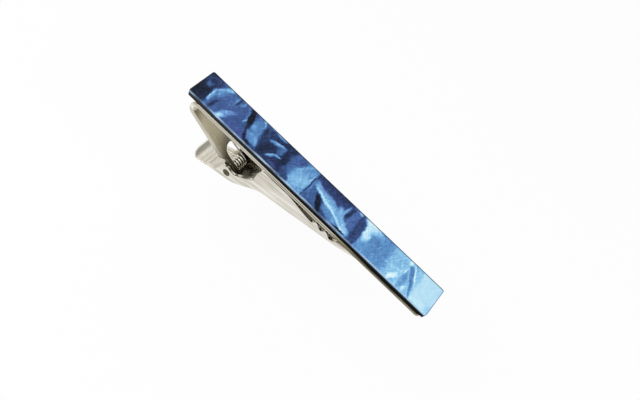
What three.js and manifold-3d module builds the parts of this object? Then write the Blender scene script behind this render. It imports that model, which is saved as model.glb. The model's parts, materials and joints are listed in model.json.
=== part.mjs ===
// Sprung tie clip: a pearl-faced bar whose metal strip folds back under itself into a slanting leg,
// and a pressed channel lever that turns on a pin in the leg and is closed by a wire torsion spring.
// Millimetres, +Z up. X runs along the bar from the folded tail (-X) to the open tip (+X).
// The origin is the middle of the pearl face.

import * as THREE from 'three';
import { mergeVertices } from 'three/addons/utils/BufferGeometryUtils.js';
import Module from 'manifold-3d';

const wasm = await Module();
wasm.setup();

// Laminated slab
const SLAB_LENGTH = 55;
const SLAB_WIDTH = 6.5;
const SLAB_CORNER = 0.35;
const PEARL_THICKNESS = 0.75;
const PEARL_ARRIS = 0.16;
const BACKING_THICKNESS = 0.65;
const BACKING_SETBACK = 0.05;
const GLUE_THICKNESS = 0.15;
const GLUE_MARGIN = 0.3;

// Metal strip: bar, hairpin fold and leg
const STRIP_WIDTH = 6.3;
const STRIP_THICKNESS = 0.85;
const STRIP_TIP_SETBACK = 0.4;
const STRIP_TIP_CORNER = 0.9;
const STRIP_TAIL_SETBACK = 1.25;
const HAIRPIN_INNER_RADIUS = 0.9;
const SLOT_REACH = 4.4;
const SHOULDER_REACH = 2.1;
const SHOULDER_LENGTH = 1.2;

// Hinge
const PIN_FROM_TAIL = 13;
const PIN_BELOW_STRIP = 8.55;
const PIN_RADIUS = 0.7;
const PIN_CUP_RADIUS = 0.46;
const PIN_CUP_DEPTH = 0.35;
const PIN_CHAMFER = 0.08;
const PIN_PROUD = 0.1;
const PIN_CLEARANCE = 0.06;
const PIN_TO_LEG_CLEARANCE = 0.1;
const EAR_THICKNESS = 0.7;
const EAR_WALL = 0.45;
const EAR_FLARE = 1.1;
const EAR_SIDE_CLEARANCE = 0.1;

// Torsion spring
const WIRE_DIAMETER = 0.36;
const COIL_CLEARANCE = 0.14;
const COIL_WHOLE_TURNS = 3;
const COIL_SIDE_CLEARANCE = 0.1;
const SPRING_ARM_PAST_SLOT = 0.7;
const SPRING_TAB_ARM = 2.4;
const SPRING_ARM_CLEARANCE = 0.12;

// Lever
const LEVER_WIDTH = 6.2;
const LEVER_THICKNESS = 0.6;
const LEVER_BEND_RADIUS = 0.9;
const LEVER_FLOOR_CLEARANCE = 0.3;
const TAB_ANGLE = 15;
const TAB_REACH = 7.3;
const TAB_LIP_LENGTH = 0.76;
const TAB_LIP_ANGLE = 48;
const TAB_LIP_RADIUS = 1.4;
const TAB_CORNER = 1.3;
const TAB_RIM = 1.1;
const RIB_COUNT = 3;
const RIB_PITCH = 0.8;
const RIB_HEIGHT = 0.12;
const RIB_FROM_LIP = 0.75;
const BELLY_AHEAD = 1.5;
const BELLY_RADIUS = 6;
const RISE_ANGLE = 40;
const RISE_LENGTH = 6.2;
const BROW_RADIUS = 6;
const PAD_LENGTH = 12;
const PAD_BEND_RADIUS = 14;
const PAD_SETBACK = 1.1;
const PAD_WIDTH = 4.2;
const PAD_CORNER = 1;
const PAD_RIM = 0.08;
const JAW_GAP = 0.25;
const WALL_TO_STRIP = 0.3;
const PAD_TEETH = 7;
const PAD_TOOTH_PITCH = 1.2;
const PAD_TOOTH_DEPTH = 0.2;
const LEVER_EAR_WALL = 0.85;
const WALL_BESIDE_SPRING = 2.5;
const WALL_BESIDE_SPRING_LENGTH = 3.2;
const CHEEK_FROM_PIN = 6.8;
const CHEEK_RISE = 1.8;
const JAW_DROP = 1.1;
const JAW_DROP_LENGTH = 5.8;
const BITE_FROM_PAD = 11;
const BITE_PITCH = 2.1;
const BITE_HEIGHT = 0.9;
const BITE_COUNT = 2;
const TAPER_LENGTH = 7;

// Smoothness
const ARC_STEPS = 4;
const ROUND_STEPS = 24;
const STEPS_PER_TURN = 8;
const WIRE_SIDES = 5;
const STEPS_PER_RIB = 4;
const STEPS_PER_BITE = 8;
const STEPS_PER_TOOTH = 2;
const STATION_STEP = 0.7;
const FINE_STEP = 0.2;
const SEARCH_STEP = 0.02;
const LEAST_STEP = 0.01;
const LEAST_CORNER = 0.02;
const WELD_DISTANCE = 1e-5;
const GAP_SAMPLES = 600;

const RAD = Math.PI / 180;

// Heights and places worked out from the sizes above
const tailX = -SLAB_LENGTH / 2;
const backingTop = -PEARL_THICKNESS;
const glueTop = backingTop - BACKING_THICKNESS;
const stripTop = glueTop - GLUE_THICKNESS;
const stripUnder = stripTop - STRIP_THICKNESS;
const stripTipX = SLAB_LENGTH / 2 - STRIP_TIP_SETBACK;
const hairpinMid = HAIRPIN_INNER_RADIUS + STRIP_THICKNESS / 2;
const hairpin = new THREE.Vector2(
  tailX + STRIP_TAIL_SETBACK + STRIP_THICKNESS + HAIRPIN_INNER_RADIUS,
  stripUnder - HAIRPIN_INNER_RADIUS,
);
const pin = new THREE.Vector2(tailX + PIN_FROM_TAIL, stripUnder - PIN_BELOW_STRIP);

// The leg leaves the hairpin at the angle that carries its lower face just clear above the pin
const pinUnderLeg = PIN_RADIUS + PIN_TO_LEG_CLEARANCE;
const toPin = pin.clone().sub(hairpin);
const legOffset = HAIRPIN_INNER_RADIUS + STRIP_THICKNESS + pinUnderLeg;
const legAngle = Math.atan2(-toPin.y, toPin.x) - Math.asin(legOffset / toPin.length());
const legAlong = new THREE.Vector2(Math.cos(legAngle), -Math.sin(legAngle));
const legUp = new THREE.Vector2(Math.sin(legAngle), Math.cos(legAngle));
const earRadius = PIN_RADIUS + PIN_CLEARANCE + EAR_WALL;
const leverInside = LEVER_WIDTH / 2 - LEVER_THICKNESS;
const earOutside = leverInside - EAR_SIDE_CLEARANCE;
const earInside = earOutside - EAR_THICKNESS;

// The coil sits round the pin with its chords, not only its corners, clear of it
const wireRadius = WIRE_DIAMETER / 2;
const coilRadius = (PIN_RADIUS + COIL_CLEARANCE + wireRadius) / Math.cos(Math.PI / STEPS_PER_TURN);
const coilOuter = coilRadius + wireRadius;
const floorBelowPin = Math.max(coilOuter, earRadius) + LEVER_FLOOR_CLEARANCE;
const lipTangent = TAB_LIP_RADIUS * Math.tan((TAB_LIP_ANGLE * RAD) / 2);

// Booleans
function solid(geometry) {
  const bare = geometry.clone();
  bare.deleteAttribute('normal');
  bare.deleteAttribute('uv');
  const merged = mergeVertices(bare, WELD_DISTANCE);
  return new wasm.Manifold(new wasm.Mesh({
    numProp: 3,
    vertProperties: new Float32Array(merged.attributes.position.array),
    triVerts: new Uint32Array(merged.index.array),
  }));
}

function geometryOf(manifold) {
  const mesh = manifold.getMesh();
  const geometry = new THREE.BufferGeometry();
  geometry.setAttribute('position', new THREE.BufferAttribute(mesh.vertProperties, 3));
  geometry.setIndex(new THREE.BufferAttribute(mesh.triVerts, 1));
  geometry.computeVertexNormals();
  return geometry;
}

// Skin over a row of rings that have the same number of points, closed at both ends
function loft(rings, outline) {
  const count = outline.length;
  const points = rings.flat();
  const index = [];
  for (let ring = 0; ring + 1 < rings.length; ring += 1) {
    for (let i = 0; i < count; i += 1) {
      const next = (i + 1) % count;
      const a = ring * count + i;
      const b = ring * count + next;
      index.push(a, b, b + count, a, b + count, a + count);
    }
  }
  const last = (rings.length - 1) * count;
  for (const [a, b, c] of THREE.ShapeUtils.triangulateShape(outline, [])) {
    index.push(a, c, b, last + a, last + b, last + c);
  }
  const geometry = new THREE.BufferGeometry().setFromPoints(points);
  geometry.setIndex(index);
  geometry.computeVertexNormals();
  return geometry;
}

// Plate with rounded corners between two heights, its upper edge eased over by `arris`
function plate(x0, x1, width, corner, bottom, top, arris = 0) {
  const ringAt = (inset, z) => {
    const ring = [];
    const radius = Math.max(corner - inset, LEAST_CORNER);
    const halfWidth = width / 2 - inset;
    const corners = [[x1, 1, 0], [x0, 1, 90], [x0, -1, 180], [x1, -1, 270]];
    for (const [x, side, start] of corners) {
      const centreX = x + (x === x1 ? -1 : 1) * (inset + radius);
      const centreY = side * (halfWidth - radius);
      for (let k = 0; k <= ARC_STEPS; k += 1) {
        const angle = (start + (90 * k) / ARC_STEPS) * RAD;
        const y = centreY + radius * Math.sin(angle);
        ring.push(new THREE.Vector3(centreX + radius * Math.cos(angle), y, z));
      }
    }
    return ring;
  };
  const rings = [ringAt(0, bottom), ringAt(0, top - arris)];
  const easing = arris > 0 ? ARC_STEPS : 0;
  for (let k = 1; k <= easing; k += 1) {
    const angle = ((90 * k) / easing) * RAD;
    rings.push(ringAt(arris * (1 - Math.cos(angle)), top - arris + arris * Math.sin(angle)));
  }
  return loft(rings, rings[0].map((p) => new THREE.Vector2(p.x, p.y)));
}

// Side view outline (x, z) carried across the width from y0 to y1
function acrossWidth(shape, y0, y1) {
  const geometry = new THREE.ExtrudeGeometry(shape, {
    depth: y1 - y0,
    bevelEnabled: false,
    curveSegments: ROUND_STEPS,
  });
  geometry.rotateX(Math.PI / 2);
  geometry.translate(0, y1, 0);
  return geometry;
}

// Round bar along Y through the pin's axis
function barOnPinAxis(radius, length) {
  const geometry = new THREE.CylinderGeometry(radius, radius, length, ROUND_STEPS);
  geometry.translate(pin.x, 0, pin.y);
  return geometry;
}

// Side view line through corner points, each inner corner rounded by its radius
function bentLine(corners, radii) {
  const path = new THREE.Path();
  path.moveTo(corners[0].x, corners[0].y);
  for (let i = 1; i + 1 < corners.length; i += 1) {
    const corner = corners[i];
    const back = corners[i - 1].clone().sub(corner).normalize();
    const ahead = corners[i + 1].clone().sub(corner).normalize();
    const half = Math.acos(back.dot(ahead)) / 2;
    const start = corner.clone().addScaledVector(back, radii[i - 1] / Math.tan(half));
    const end = corner.clone().addScaledVector(ahead, radii[i - 1] / Math.tan(half));
    const middle = back.clone().add(ahead).normalize();
    const centre = corner.clone().addScaledVector(middle, radii[i - 1] / Math.sin(half));
    const from = start.clone().sub(centre).angle();
    const to = end.clone().sub(centre).angle();
    path.lineTo(start.x, start.y);
    path.absarc(centre.x, centre.y, radii[i - 1], from, to, back.cross(ahead) > 0);
  }
  const end = corners[corners.length - 1];
  path.lineTo(end.x, end.y);
  return path;
}

// Place along a side view line: the point and the direction square to it, upwards
function stationOn(path, distance) {
  const share = THREE.MathUtils.clamp(distance / path.getLength(), 0, 1);
  const point = path.getPoint(share);
  const along = path.getTangent(share);
  return { point, up: new THREE.Vector2(-along.y, along.x) };
}

// Distances along a line, every `step`, ends included
function spread(from, to, step) {
  const count = Math.max(1, Math.round((to - from) / step));
  return Array.from({ length: count + 1 }, (_, k) => from + ((to - from) * k) / count);
}

// Distance along a side view line to the point nearest a target
function nearestOn(path, target) {
  let best = 0;
  let bestGap = Infinity;
  for (const distance of spread(0, path.getLength(), SEARCH_STEP)) {
    const gap = stationOn(path, distance).point.distanceTo(target);
    if (gap < bestGap) {
      bestGap = gap;
      best = distance;
    }
  }
  return best;
}

// Half width lost to a rounded corner, `distance` in from an end
function cornerLoss(distance, corner) {
  if (distance >= corner) return 0;
  return corner - Math.sqrt(Math.max(0, corner * corner - (corner - distance) ** 2));
}

const { smoothstep, lerp } = THREE.MathUtils;

// Laminated slab: pearl ply, black ply and the glue that holds them to the strip
const pearlFace = plate(
  tailX, -tailX, SLAB_WIDTH, SLAB_CORNER, backingTop, 0, PEARL_ARRIS,
);
const blackBacking = plate(
  tailX + BACKING_SETBACK, -tailX - BACKING_SETBACK,
  SLAB_WIDTH - 2 * BACKING_SETBACK, SLAB_CORNER, glueTop, backingTop,
);
const glueFilm = plate(
  hairpin.x + GLUE_MARGIN, stripTipX - GLUE_MARGIN,
  STRIP_WIDTH - 2 * GLUE_MARGIN, STRIP_TIP_CORNER - GLUE_MARGIN, stripTop, glueTop,
);

// Strip: along the bar from the tip, round the hairpin and down the leg to the ears
function buildBarFrame() {
  const barMid = (stripTop + stripUnder) / 2;
  const legEnd = toPin.dot(legAlong) + earRadius;
  const legLine = hairpin.clone().addScaledVector(legUp, -hairpinMid);
  const outline = [[-1, -1], [1, -1], [1, 1], [-1, 1]];
  const sections = [];
  const section = (point, up, halfWidth) => {
    sections.push(outline.map(([side, level]) => new THREE.Vector3(
      point.x + (up.x * level * STRIP_THICKNESS) / 2,
      side * halfWidth,
      point.y + (up.y * level * STRIP_THICKNESS) / 2,
    )));
  };
  const upright = new THREE.Vector2(0, 1);
  for (const distance of spread(0, STRIP_TIP_CORNER, STRIP_TIP_CORNER / (2 * ARC_STEPS))) {
    const halfWidth = STRIP_WIDTH / 2 - cornerLoss(distance, STRIP_TIP_CORNER);
    section(new THREE.Vector2(stripTipX - distance, barMid), upright, halfWidth);
  }
  const turn = Math.PI - legAngle;
  for (const angle of spread(0, turn, turn / ROUND_STEPS)) {
    const up = new THREE.Vector2(-Math.sin(angle), Math.cos(angle));
    section(hairpin.clone().addScaledVector(up, hairpinMid), up, STRIP_WIDTH / 2);
  }
  const legDown = legUp.clone().negate();
  const shoulderEnd = legEnd - earRadius - SHOULDER_REACH;
  for (const distance of spread(shoulderEnd - SHOULDER_LENGTH, shoulderEnd, FINE_STEP)) {
    const share = smoothstep(distance, shoulderEnd - SHOULDER_LENGTH, shoulderEnd);
    const point = legLine.clone().addScaledVector(legAlong, distance);
    section(point, legDown, lerp(STRIP_WIDTH / 2, earOutside, share));
  }
  section(legLine.clone().addScaledVector(legAlong, legEnd), legDown, earOutside);
  const corners = outline.map(([side, level]) => new THREE.Vector2(side, level));
  let frame = solid(loft(sections.reverse(), corners));

  // Ears: cheeks folded down from the leg, rounded about the pin
  const legFace = pinUnderLeg + STRIP_THICKNESS / 2;
  const onLeg = (along, up) => pin.clone()
    .addScaledVector(legAlong, along)
    .addScaledVector(legUp, up);
  const cheek = new THREE.Shape();
  const outer = [onLeg(-earRadius - EAR_FLARE, legFace), onLeg(earRadius, legFace)];
  cheek.moveTo(outer[0].x, outer[0].y);
  const roundFrom = -legAngle - Math.PI;
  cheek.absarc(pin.x, pin.y, earRadius, roundFrom, -legAngle, false);
  cheek.lineTo(outer[1].x, outer[1].y);
  for (const side of [-1, 1]) {
    const near = side * earInside;
    const far = side * earOutside;
    frame = frame.add(solid(acrossWidth(cheek, Math.min(near, far), Math.max(near, far))));
  }

  // Slot between the ears, round at its upper end, for the coil and the spring's arm
  const slot = new THREE.Shape();
  slot.moveTo(2 * earRadius, -earInside);
  slot.lineTo(2 * earRadius, earInside);
  slot.absarc(earInside - SLOT_REACH, 0, earInside, Math.PI / 2, 1.5 * Math.PI, false);
  const cutter = new THREE.ExtrudeGeometry(slot, {
    depth: 2 * STRIP_THICKNESS,
    bevelEnabled: false,
    curveSegments: ROUND_STEPS,
  });
  cutter.translate(0, 0, pinUnderLeg - STRIP_THICKNESS / 2);
  cutter.rotateY(legAngle);
  cutter.translate(pin.x, 0, pin.y);
  frame = frame.subtract(solid(cutter));
  const hole = barOnPinAxis(PIN_RADIUS + PIN_CLEARANCE, 2 * STRIP_WIDTH);
  return geometryOf(frame.subtract(solid(hole)));
}

// Pin: round bar with eased ends and a cup in each, as a rivet has
function buildPivotPin() {
  const half = LEVER_WIDTH / 2 + PIN_PROUD;
  const profile = [
    new THREE.Vector2(0, -half + PIN_CUP_DEPTH),
    new THREE.Vector2(PIN_CUP_RADIUS, -half),
    new THREE.Vector2(PIN_RADIUS - PIN_CHAMFER, -half),
    new THREE.Vector2(PIN_RADIUS, -half + PIN_CHAMFER),
    new THREE.Vector2(PIN_RADIUS, half - PIN_CHAMFER),
    new THREE.Vector2(PIN_RADIUS - PIN_CHAMFER, half),
    new THREE.Vector2(PIN_CUP_RADIUS, half),
    new THREE.Vector2(0, half - PIN_CUP_DEPTH),
  ];
  const geometry = new THREE.LatheGeometry(profile, ROUND_STEPS);
  geometry.translate(pin.x, 0, pin.y);
  return geometry;
}

// Wire of the torsion spring: an arm under the leg, the coil round the pin, an arm on the thumb tab
class SpringWire extends THREE.Curve {
  constructor() {
    super();
    this.coilHalf = earInside - COIL_SIDE_CLEARANCE - wireRadius;
    const slotEdge = SLOT_REACH - earInside + Math.sqrt(earInside ** 2 - this.coilHalf ** 2);
    const underLeg = pinUnderLeg - wireRadius - SPRING_ARM_CLEARANCE;
    const dip = Math.asin((coilRadius - underLeg) / slotEdge);
    this.legArm = slotEdge + SPRING_ARM_PAST_SLOT;
    const overFloor = floorBelowPin - RIB_HEIGHT - wireRadius - SPRING_ARM_CLEARANCE;
    const sink = Math.asin((overFloor - coilRadius) / SPRING_TAB_ARM);
    this.fixedSlope = legAngle - dip;
    this.movingSlope = TAB_ANGLE * RAD + sink;
    this.from = Math.PI / 2 - this.fixedSlope;
    const to = this.movingSlope - Math.PI / 2 - COIL_WHOLE_TURNS * 2 * Math.PI;
    this.sweep = this.from - to;
    this.coilLength = Math.hypot(this.sweep * coilRadius, 2 * this.coilHalf);
    this.length = this.legArm + this.coilLength + SPRING_TAB_ARM;
  }

  onCoil(share) {
    const angle = this.from - this.sweep * share;
    return new THREE.Vector3(
      pin.x + coilRadius * Math.cos(angle),
      lerp(this.coilHalf, -this.coilHalf, share),
      pin.y + coilRadius * Math.sin(angle),
    );
  }

  getPoint(t, target = new THREE.Vector3()) {
    const distance = t * this.length - this.legArm;
    const share = THREE.MathUtils.clamp(distance / this.coilLength, 0, 1);
    target.copy(this.onCoil(share));
    const before = Math.max(0, -distance);
    const after = Math.max(0, distance - this.coilLength);
    target.x -= before * Math.cos(this.fixedSlope) + after * Math.cos(this.movingSlope);
    target.z += before * Math.sin(this.fixedSlope) - after * Math.sin(this.movingSlope);
    return target;
  }

  // Least clear distance between stretches of the wire that lie at least half a turn apart
  leastGap() {
    const points = this.getSpacedPoints(GAP_SAMPLES);
    const apart = Math.ceil((GAP_SAMPLES * Math.PI * coilRadius) / this.length);
    let least = Infinity;
    for (let i = 0; i < points.length; i += 1) {
      for (let j = i + apart; j < points.length; j += 1) {
        least = Math.min(least, points[i].distanceTo(points[j]));
      }
    }
    return least - WIRE_DIAMETER;
  }
}

function buildTorsionSpring() {
  const wire = new SpringWire();
  const section = new THREE.Shape();
  for (let k = 0; k < WIRE_SIDES; k += 1) {
    const angle = (k * 2 * Math.PI) / WIRE_SIDES;
    const corner = [wireRadius * Math.cos(angle), wireRadius * Math.sin(angle)];
    if (k === 0) section.moveTo(...corner);
    else section.lineTo(...corner);
  }
  section.closePath();
  const stepLength = (2 * Math.PI * coilRadius) / STEPS_PER_TURN;
  console.log('torsion_spring least gap to itself', wire.leastGap().toFixed(3), 'mm');
  return new THREE.ExtrudeGeometry(section, {
    steps: Math.round(wire.length / stepLength),
    extrudePath: wire,
  });
}

// Lever: a channel section carried along a bent line from the lip of the thumb tab to the jaw pad
function buildClipLever() {
  const tabAngle = TAB_ANGLE * RAD;
  const tabAlong = new THREE.Vector2(Math.cos(tabAngle), Math.sin(tabAngle));
  const tabUp = new THREE.Vector2(-Math.sin(tabAngle), Math.cos(tabAngle));
  const under = floorBelowPin + LEVER_THICKNESS;
  const foot = pin.clone().addScaledVector(tabUp, -under);
  const lip = foot.clone().addScaledVector(tabAlong, -TAB_REACH);
  const lipAngle = Math.PI + tabAngle - TAB_LIP_ANGLE * RAD;
  const lipAlong = new THREE.Vector2(Math.cos(lipAngle), Math.sin(lipAngle));
  const lipTop = lip.clone().addScaledVector(lipAlong, lipTangent + TAB_LIP_LENGTH);
  const belly = foot.clone().addScaledVector(tabAlong, BELLY_AHEAD);
  const rise = new THREE.Vector2(Math.cos(RISE_ANGLE * RAD), Math.sin(RISE_ANGLE * RAD));
  const brow = belly.clone().addScaledVector(rise, RISE_LENGTH);
  const padUnder = stripUnder - JAW_GAP - PAD_RIM - LEVER_THICKNESS;
  const tip = new THREE.Vector2(stripTipX - PAD_SETBACK, padUnder);
  const padStart = new THREE.Vector2(tip.x - PAD_LENGTH, padUnder);
  const line = bentLine(
    [lipTop, lip, belly, brow, padStart, tip],
    [TAB_LIP_RADIUS, BELLY_RADIUS, BROW_RADIUS, PAD_BEND_RADIUS],
  );

  // Distances along the line of the features that sit on it
  const length = line.getLength();
  const atLip = nearestOn(line, lip);
  const atPin = nearestOn(line, foot);
  const atPad = nearestOn(line, padStart);
  const atRibs = atLip + RIB_FROM_LIP;
  const ribsEnd = atRibs + RIB_COUNT * RIB_PITCH;
  const atTeeth = length - PAD_CORNER - PAD_TEETH * PAD_TOOTH_PITCH;
  const teethEnd = length - PAD_CORNER;
  const atBite = atPad - BITE_FROM_PAD;
  const biteEnd = atBite + BITE_COUNT * BITE_PITCH;
  const earTop = under + PIN_RADIUS + LEVER_EAR_WALL;
  const earReach = PIN_RADIUS + LEVER_EAR_WALL;
  const wallEnd = atPin + WALL_BESIDE_SPRING_LENGTH;
  const atCheek = atPin + CHEEK_FROM_PIN;
  const flatWall = LEVER_THICKNESS + PAD_RIM;

  // Height that the walls can have at a place without meeting the strip above them
  const roomAt = (s) => {
    const { point, up } = stationOn(line, s);
    return (stripUnder - WALL_TO_STRIP - point.y) / up.y;
  };

  // Height of the side walls above the lever's underside: ears at the pin, cheeks that come up to the
  // strip, and a drop to the jaw with its bites
  const wallAt = (s) => {
    if (s < atPin - earReach) {
      const rim = lerp(flatWall, TAB_RIM, smoothstep(s, ribsEnd - RIB_PITCH, ribsEnd + RIB_PITCH));
      return lerp(rim, under, smoothstep(s, atPin - 2 * earReach, atPin - earReach));
    }
    if (s < atPin) return under + Math.sqrt(Math.max(0, earReach ** 2 - (atPin - s) ** 2));
    let wall = lerp(earTop, WALL_BESIDE_SPRING, smoothstep(s, atPin, wallEnd));
    const sinks = smoothstep(s, atBite - JAW_DROP_LENGTH, atBite);
    const returns = smoothstep(s, biteEnd, biteEnd + BITE_PITCH);
    const cheek = roomAt(s) - JAW_DROP * (sinks - returns);
    wall = lerp(wall, cheek, smoothstep(s, atCheek, atCheek + CHEEK_RISE));
    if (s > atBite && s < biteEnd) {
      const phase = (s - atBite) / BITE_PITCH;
      wall += BITE_HEIGHT * Math.sin(Math.PI * (phase % 1)) ** 2;
    }
    return wall;
  };

  const halfWidthAt = (s) => {
    const taper = smoothstep(s, atPad - TAPER_LENGTH, atPad + PAD_LENGTH / 2);
    const half = lerp(LEVER_WIDTH, PAD_WIDTH, taper) / 2;
    return half - cornerLoss(s, TAB_CORNER) - cornerLoss(length - s, PAD_CORNER);
  };

  // Cross grooves of the jaw pad, and the pressed ribs of the thumb tab
  const grooveAt = (s) => {
    if (s <= atTeeth || s >= teethEnd) return 0;
    const phase = ((s - atTeeth) / PAD_TOOTH_PITCH) % 1;
    return PAD_TOOTH_DEPTH * (1 - Math.abs(2 * phase - 1));
  };
  const ribAt = (s) => {
    if (s <= atRibs || s >= ribsEnd) return 0;
    return RIB_HEIGHT * Math.sin((Math.PI * (s - atRibs)) / RIB_PITCH) ** 2;
  };

  const sectionAt = (s) => {
    const half = halfWidthAt(s);
    const groove = grooveAt(s);
    const thickness = LEVER_THICKNESS - groove;
    const wall = Math.max(Math.min(wallAt(s), roomAt(s)), flatWall) - groove;
    const bend = Math.min(LEVER_BEND_RADIUS, wall - LEAST_CORNER);
    const inner = Math.max(bend - thickness, LEAST_CORNER);
    const points = [];
    const arc = (side, radius, from, lift) => {
      for (let k = 0; k <= ARC_STEPS; k += 1) {
        const angle = (from + (Math.sign(lift) * 90 * k) / ARC_STEPS) * RAD;
        const y = side * (half - bend) + radius * Math.cos(angle);
        points.push(new THREE.Vector2(y, bend + radius * Math.sin(angle)));
      }
    };
    points.push(new THREE.Vector2(-half, wall));
    arc(-1, bend, 180, 1);
    arc(1, bend, 270, 1);
    points.push(new THREE.Vector2(half, wall));
    points.push(new THREE.Vector2(half - bend + inner, wall));
    arc(1, inner, 360, -1);
    arc(-1, inner, 270, -1);
    points.push(new THREE.Vector2(-half + bend - inner, wall));
    return points;
  };

  const stations = [
    ...spread(0, TAB_CORNER, FINE_STEP),
    ...spread(TAB_CORNER, atRibs, FINE_STEP),
    ...spread(atRibs, ribsEnd, RIB_PITCH / STEPS_PER_RIB),
    ...spread(ribsEnd, atPin - 2 * earReach, STATION_STEP),
    ...spread(atPin - 2 * earReach, atPin, FINE_STEP),
    ...spread(atPin, atCheek, STATION_STEP),
    ...spread(atCheek, atCheek + CHEEK_RISE, FINE_STEP),
    ...spread(atCheek + CHEEK_RISE, atBite, STATION_STEP),
    ...spread(atBite, biteEnd, BITE_PITCH / STEPS_PER_BITE),
    ...spread(biteEnd, atTeeth, STATION_STEP),
    ...spread(atTeeth, teethEnd, PAD_TOOTH_PITCH / STEPS_PER_TOOTH),
    ...spread(teethEnd, length, FINE_STEP),
  ].filter((s, k, all) => k === 0 || s - all[k - 1] > LEAST_STEP);
  const outline = sectionAt(atPin);
  const rings = stations.map((s) => {
    const { point, up } = stationOn(line, s);
    const rib = ribAt(s);
    return sectionAt(s).map((p) => new THREE.Vector3(
      point.x + up.x * (p.y + rib),
      p.x,
      point.y + up.y * (p.y + rib),
    ));
  });
  const hole = barOnPinAxis(PIN_RADIUS + PIN_CLEARANCE, 2 * LEVER_WIDTH);
  return geometryOf(solid(loft(rings, outline)).subtract(solid(hole)));
}

// Finishes
function finish(color, roughness, metalness) {
  return new THREE.MeshStandardMaterial({ color, roughness, metalness });
}
const pearl = finish(0x4a7fc4, 0.15, 0);
const black = finish(0x101114, 0.35, 0);
const glue = finish(0xb9b39c, 0.6, 0);
const nickel = finish(0xcfc9bb, 0.18, 1);
const steel = finish(0xb4b2ad, 0.25, 1);

const tieClip = new THREE.Group();
const add = (name, geometry, material) => {
  const mesh = new THREE.Mesh(geometry, material);
  mesh.name = name;
  tieClip.add(mesh);
};
add('pearl_face', pearlFace, pearl);
add('black_backing', blackBacking, black);
add('glue_film', glueFilm, glue);
add('bar_frame', buildBarFrame(), nickel);
add('pivot_pin', buildPivotPin(), steel);
add('torsion_spring', buildTorsionSpring(), steel);
add('clip_lever', buildClipLever(), nickel);

export default tieClip;
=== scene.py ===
# %% [markdown]
# # A sprung tie clip
# A tie clip of this kind is a slim bar that shows on the tie, and a sprung lever behind it that grips the cloth.
# The bar is a ply of blue pearl plastic on a ply of black plastic, glued to a nickel-plated strip. The strip folds
# back under itself at the tail, and a pressed channel lever turns on a pin in that folded leg.
# It could all be drawn by eye, but its solids are already measured and packed. They are loaded first, so that every
# piece made here sits where the solids say.

# %% Load the solids
import json
import math

import bmesh
import bpy
from mathutils import Color, Matrix, Vector


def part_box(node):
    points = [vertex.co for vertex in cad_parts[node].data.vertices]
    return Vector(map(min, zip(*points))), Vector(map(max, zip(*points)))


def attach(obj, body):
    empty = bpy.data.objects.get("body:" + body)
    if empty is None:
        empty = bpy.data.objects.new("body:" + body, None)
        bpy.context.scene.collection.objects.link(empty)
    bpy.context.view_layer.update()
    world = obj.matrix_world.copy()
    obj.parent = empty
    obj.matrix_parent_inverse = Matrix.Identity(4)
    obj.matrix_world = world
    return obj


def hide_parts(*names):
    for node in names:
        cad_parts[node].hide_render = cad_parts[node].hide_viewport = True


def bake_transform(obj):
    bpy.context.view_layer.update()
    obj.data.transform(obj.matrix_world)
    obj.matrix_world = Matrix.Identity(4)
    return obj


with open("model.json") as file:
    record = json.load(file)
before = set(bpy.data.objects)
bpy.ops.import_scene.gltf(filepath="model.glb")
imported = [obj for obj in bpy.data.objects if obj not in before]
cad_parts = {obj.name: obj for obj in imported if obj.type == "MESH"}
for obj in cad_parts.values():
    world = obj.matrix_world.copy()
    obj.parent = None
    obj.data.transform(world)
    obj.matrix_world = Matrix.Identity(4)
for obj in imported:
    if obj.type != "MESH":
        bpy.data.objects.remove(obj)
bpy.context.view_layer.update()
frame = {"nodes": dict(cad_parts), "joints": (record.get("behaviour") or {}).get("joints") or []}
hinge = frame["joints"][0]

# %% [markdown]
# ## Working in millimetres
# The clip is small, so the pieces are drawn in millimetres and shrunk to metres when they are finished.
# Every size could be typed again, but then the looks would no longer follow the solids. Sizes that the solids
# already hold are read from their boxes, and only wire, sheet and easing sizes are typed here.

# %% Sizes read from the solids
MM = 0.001


def box_mm(node):
    low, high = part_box(node)
    return low / MM, high / MM


pin_x, _, pin_z = (value / MM for value in hinge["pos_m"])
pearl_low, pearl_high = box_mm("pearl_face")
black_low, black_high = box_mm("black_backing")
strip_low, strip_high = box_mm("bar_frame")
_, lever_high = box_mm("clip_lever")
rivet_low, rivet_high = box_mm("pivot_pin")
print("bar", [round(v, 2) for v in pearl_high - pearl_low], "mm, pin at", round(pin_x, 2), round(pin_z, 2))

# %% [markdown]
# ## From a bmesh to a piece of the clip
# Every piece ends the same way: its faces are turned outwards and put in order, it is shrunk to metres, its gentle
# edges are shaded smooth, the solid that it stands for is hidden, and, where a body carries it, it is hung on that
# body. These steps could be written out for each piece, but that would hide what is special about it, so a few
# functions do them for all.

# %% Finish a piece
SAME_SPOT = 1e-4
ORDER = Vector((1, 1.9, 3.7))  # a slanting direction, along which corners are hardly ever level
SMOOTH_BELOW = math.radians(38)


def put_in_order(bm):
    """Sorts a mesh by its places, because bmesh leaves it in an order that can change from run to run."""
    bm.verts.sort(key=lambda vert: vert.co.dot(ORDER))
    bm.edges.sort(key=lambda edge: (edge.verts[0].co + edge.verts[1].co).dot(ORDER))
    bm.faces.sort(key=lambda face: face.calc_center_median().dot(ORDER))


def make_object(name, bm):
    bmesh.ops.remove_doubles(bm, verts=bm.verts, dist=SAME_SPOT)
    bmesh.ops.recalc_face_normals(bm, faces=bm.faces)
    put_in_order(bm)
    bmesh.ops.scale(bm, vec=(MM, MM, MM), verts=bm.verts)
    mesh = bpy.data.meshes.new(name)
    bm.to_mesh(mesh)
    bm.free()
    piece = bpy.data.objects.new(name, mesh)
    bpy.context.scene.collection.objects.link(piece)
    return piece


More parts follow.
